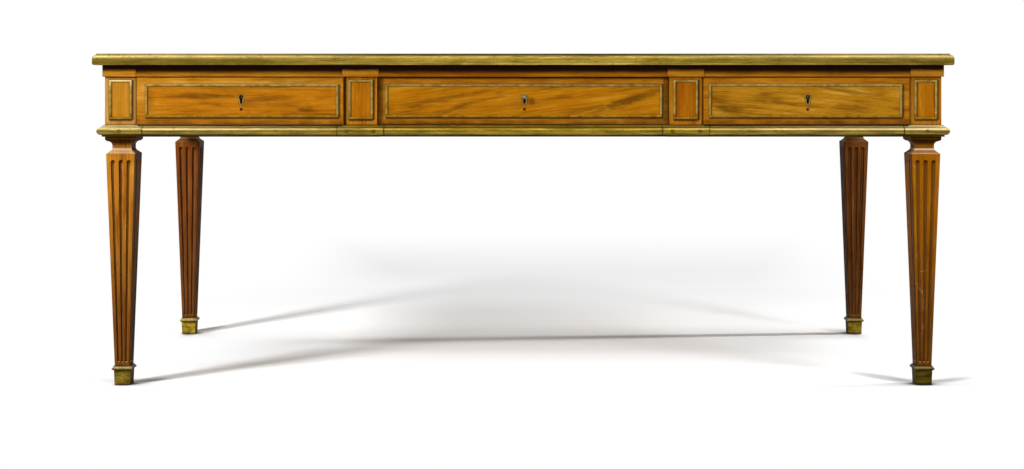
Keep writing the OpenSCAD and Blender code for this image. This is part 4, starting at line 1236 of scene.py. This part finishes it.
# Painted highlights on the shoes, and where they are darker, by height
SHOE_HIGHLIGHTS = (
    (0.036, 0), (0.0378, 0.2), (0.0398, 0.45), (0.0412, 0.75), (0.043, 0.6), (0.0445, 0.25))
SHOE_DARKENING = (
    (0, 0.75), (0.0025, 0.3), (0.006, 0), (0.029, 0), (0.032, 0.45), (0.0342, 0.92),
    (0.0366, 0.92), (0.0376, 0.4), (0.0388, 0))


def joint_dirt(x, y, z):
    """Dirt in the joints of the lower moulding and around the heads of its screws."""
    across, deep = (absolute(value) for value in (x, y))
    found = []
    for value, at in [(across, joint) for joint in JOINTS_X] + [(deep, JOINT_Y)]:
        gap = absolute(minus(value, at))
        found.append(stretched(gap, 0.0004, 0.0018, 0.8, 0))
    for value, at in [(across, screw) for screw in SCREWS_X] + [(deep, SCREW_Y)]:
        found.append(near(value, z, (at, SCREW_Z), 0.0034, 0.0052, 0.9))
    return highest(*found)


for hand, along in (("front", "X"), ("back", "X"), ("left", "Y"), ("right", "Y")):
    paint(brass(
        "brass_top_" + hand, along, 2, rubbed=TOP_HIGHLIGHTS, darkened=TOP_SHADE,
        highlight_colour=(0.84, 0.65, 0.27), middle=((1.9, 2.02, 3), 0.12, 0.7624)),
        "top_moulding_" + hand)
paint(brass(
    "brass_corner", "X", rubbed=CORNER_HIGHLIGHTS, darkened=CORNER_SHADE, joints=joint_dirt,
    highlight_colour=(0.92, 0.76, 0.4), tilt=0.0012), "corner_mouldings")
paint(brass(
    "brass_lower", "X", rubbed=LOWER_HIGHLIGHTS, darkened=LOWER_SHADE, joints=joint_dirt,
    highlight_colour=(0.86, 0.68, 0.3), middle=((1.05, 1.05, 0.8), 0.03, 0.61)),
    "stile_mouldings", "bay_mouldings")
paint(strip_metal("brass_strip"), "panel_frames", *in_drawers("frame"))
for number, (corner, tone) in enumerate(SHOES.items()):
    node = "sabot_" + corner
    paint(brass(
        "shoe_" + corner, "X", 8 + number, 0.95, 0.46, SHOE_HIGHLIGHTS, SHOE_DARKENING, tone,
        highlight_colour=(0.3 * tone + 0.12, 0.26 * tone + 0.1, 0.12 * tone + 0.04), length=0.22,
        inner=middle_of(node).x), node)
for hand, depth, tone in (
    ("left", -0.4285, (0.16, 0.12, 0.05)), ("centre", -0.422, (0.34, 0.3, 0.22)),
    ("right", -0.43, (0.16, 0.13, 0.06)),
):
    paint(lock_metal("lock_" + hand, depth, tone), f"drawer_{hand}_lock")
paint(strip_metal("brass_rim"), *in_drawers("escutcheon"))
paint(brass("brass_bolt", "X", 11, tarnish=0.6), *in_drawers("bolt"))
paint(brass("brass_screw", "X", 13, tarnish=0.8), "moulding_screws")
paint(steel("steel"), "top_screws")
leather_low, leather_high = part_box("leather_top")
paint(leather("leather", leather_low[:2], leather_high[:2]), "leather_top")

bpy.context.scene.view_settings.view_transform = "Standard"
bpy.context.view_layer.update()
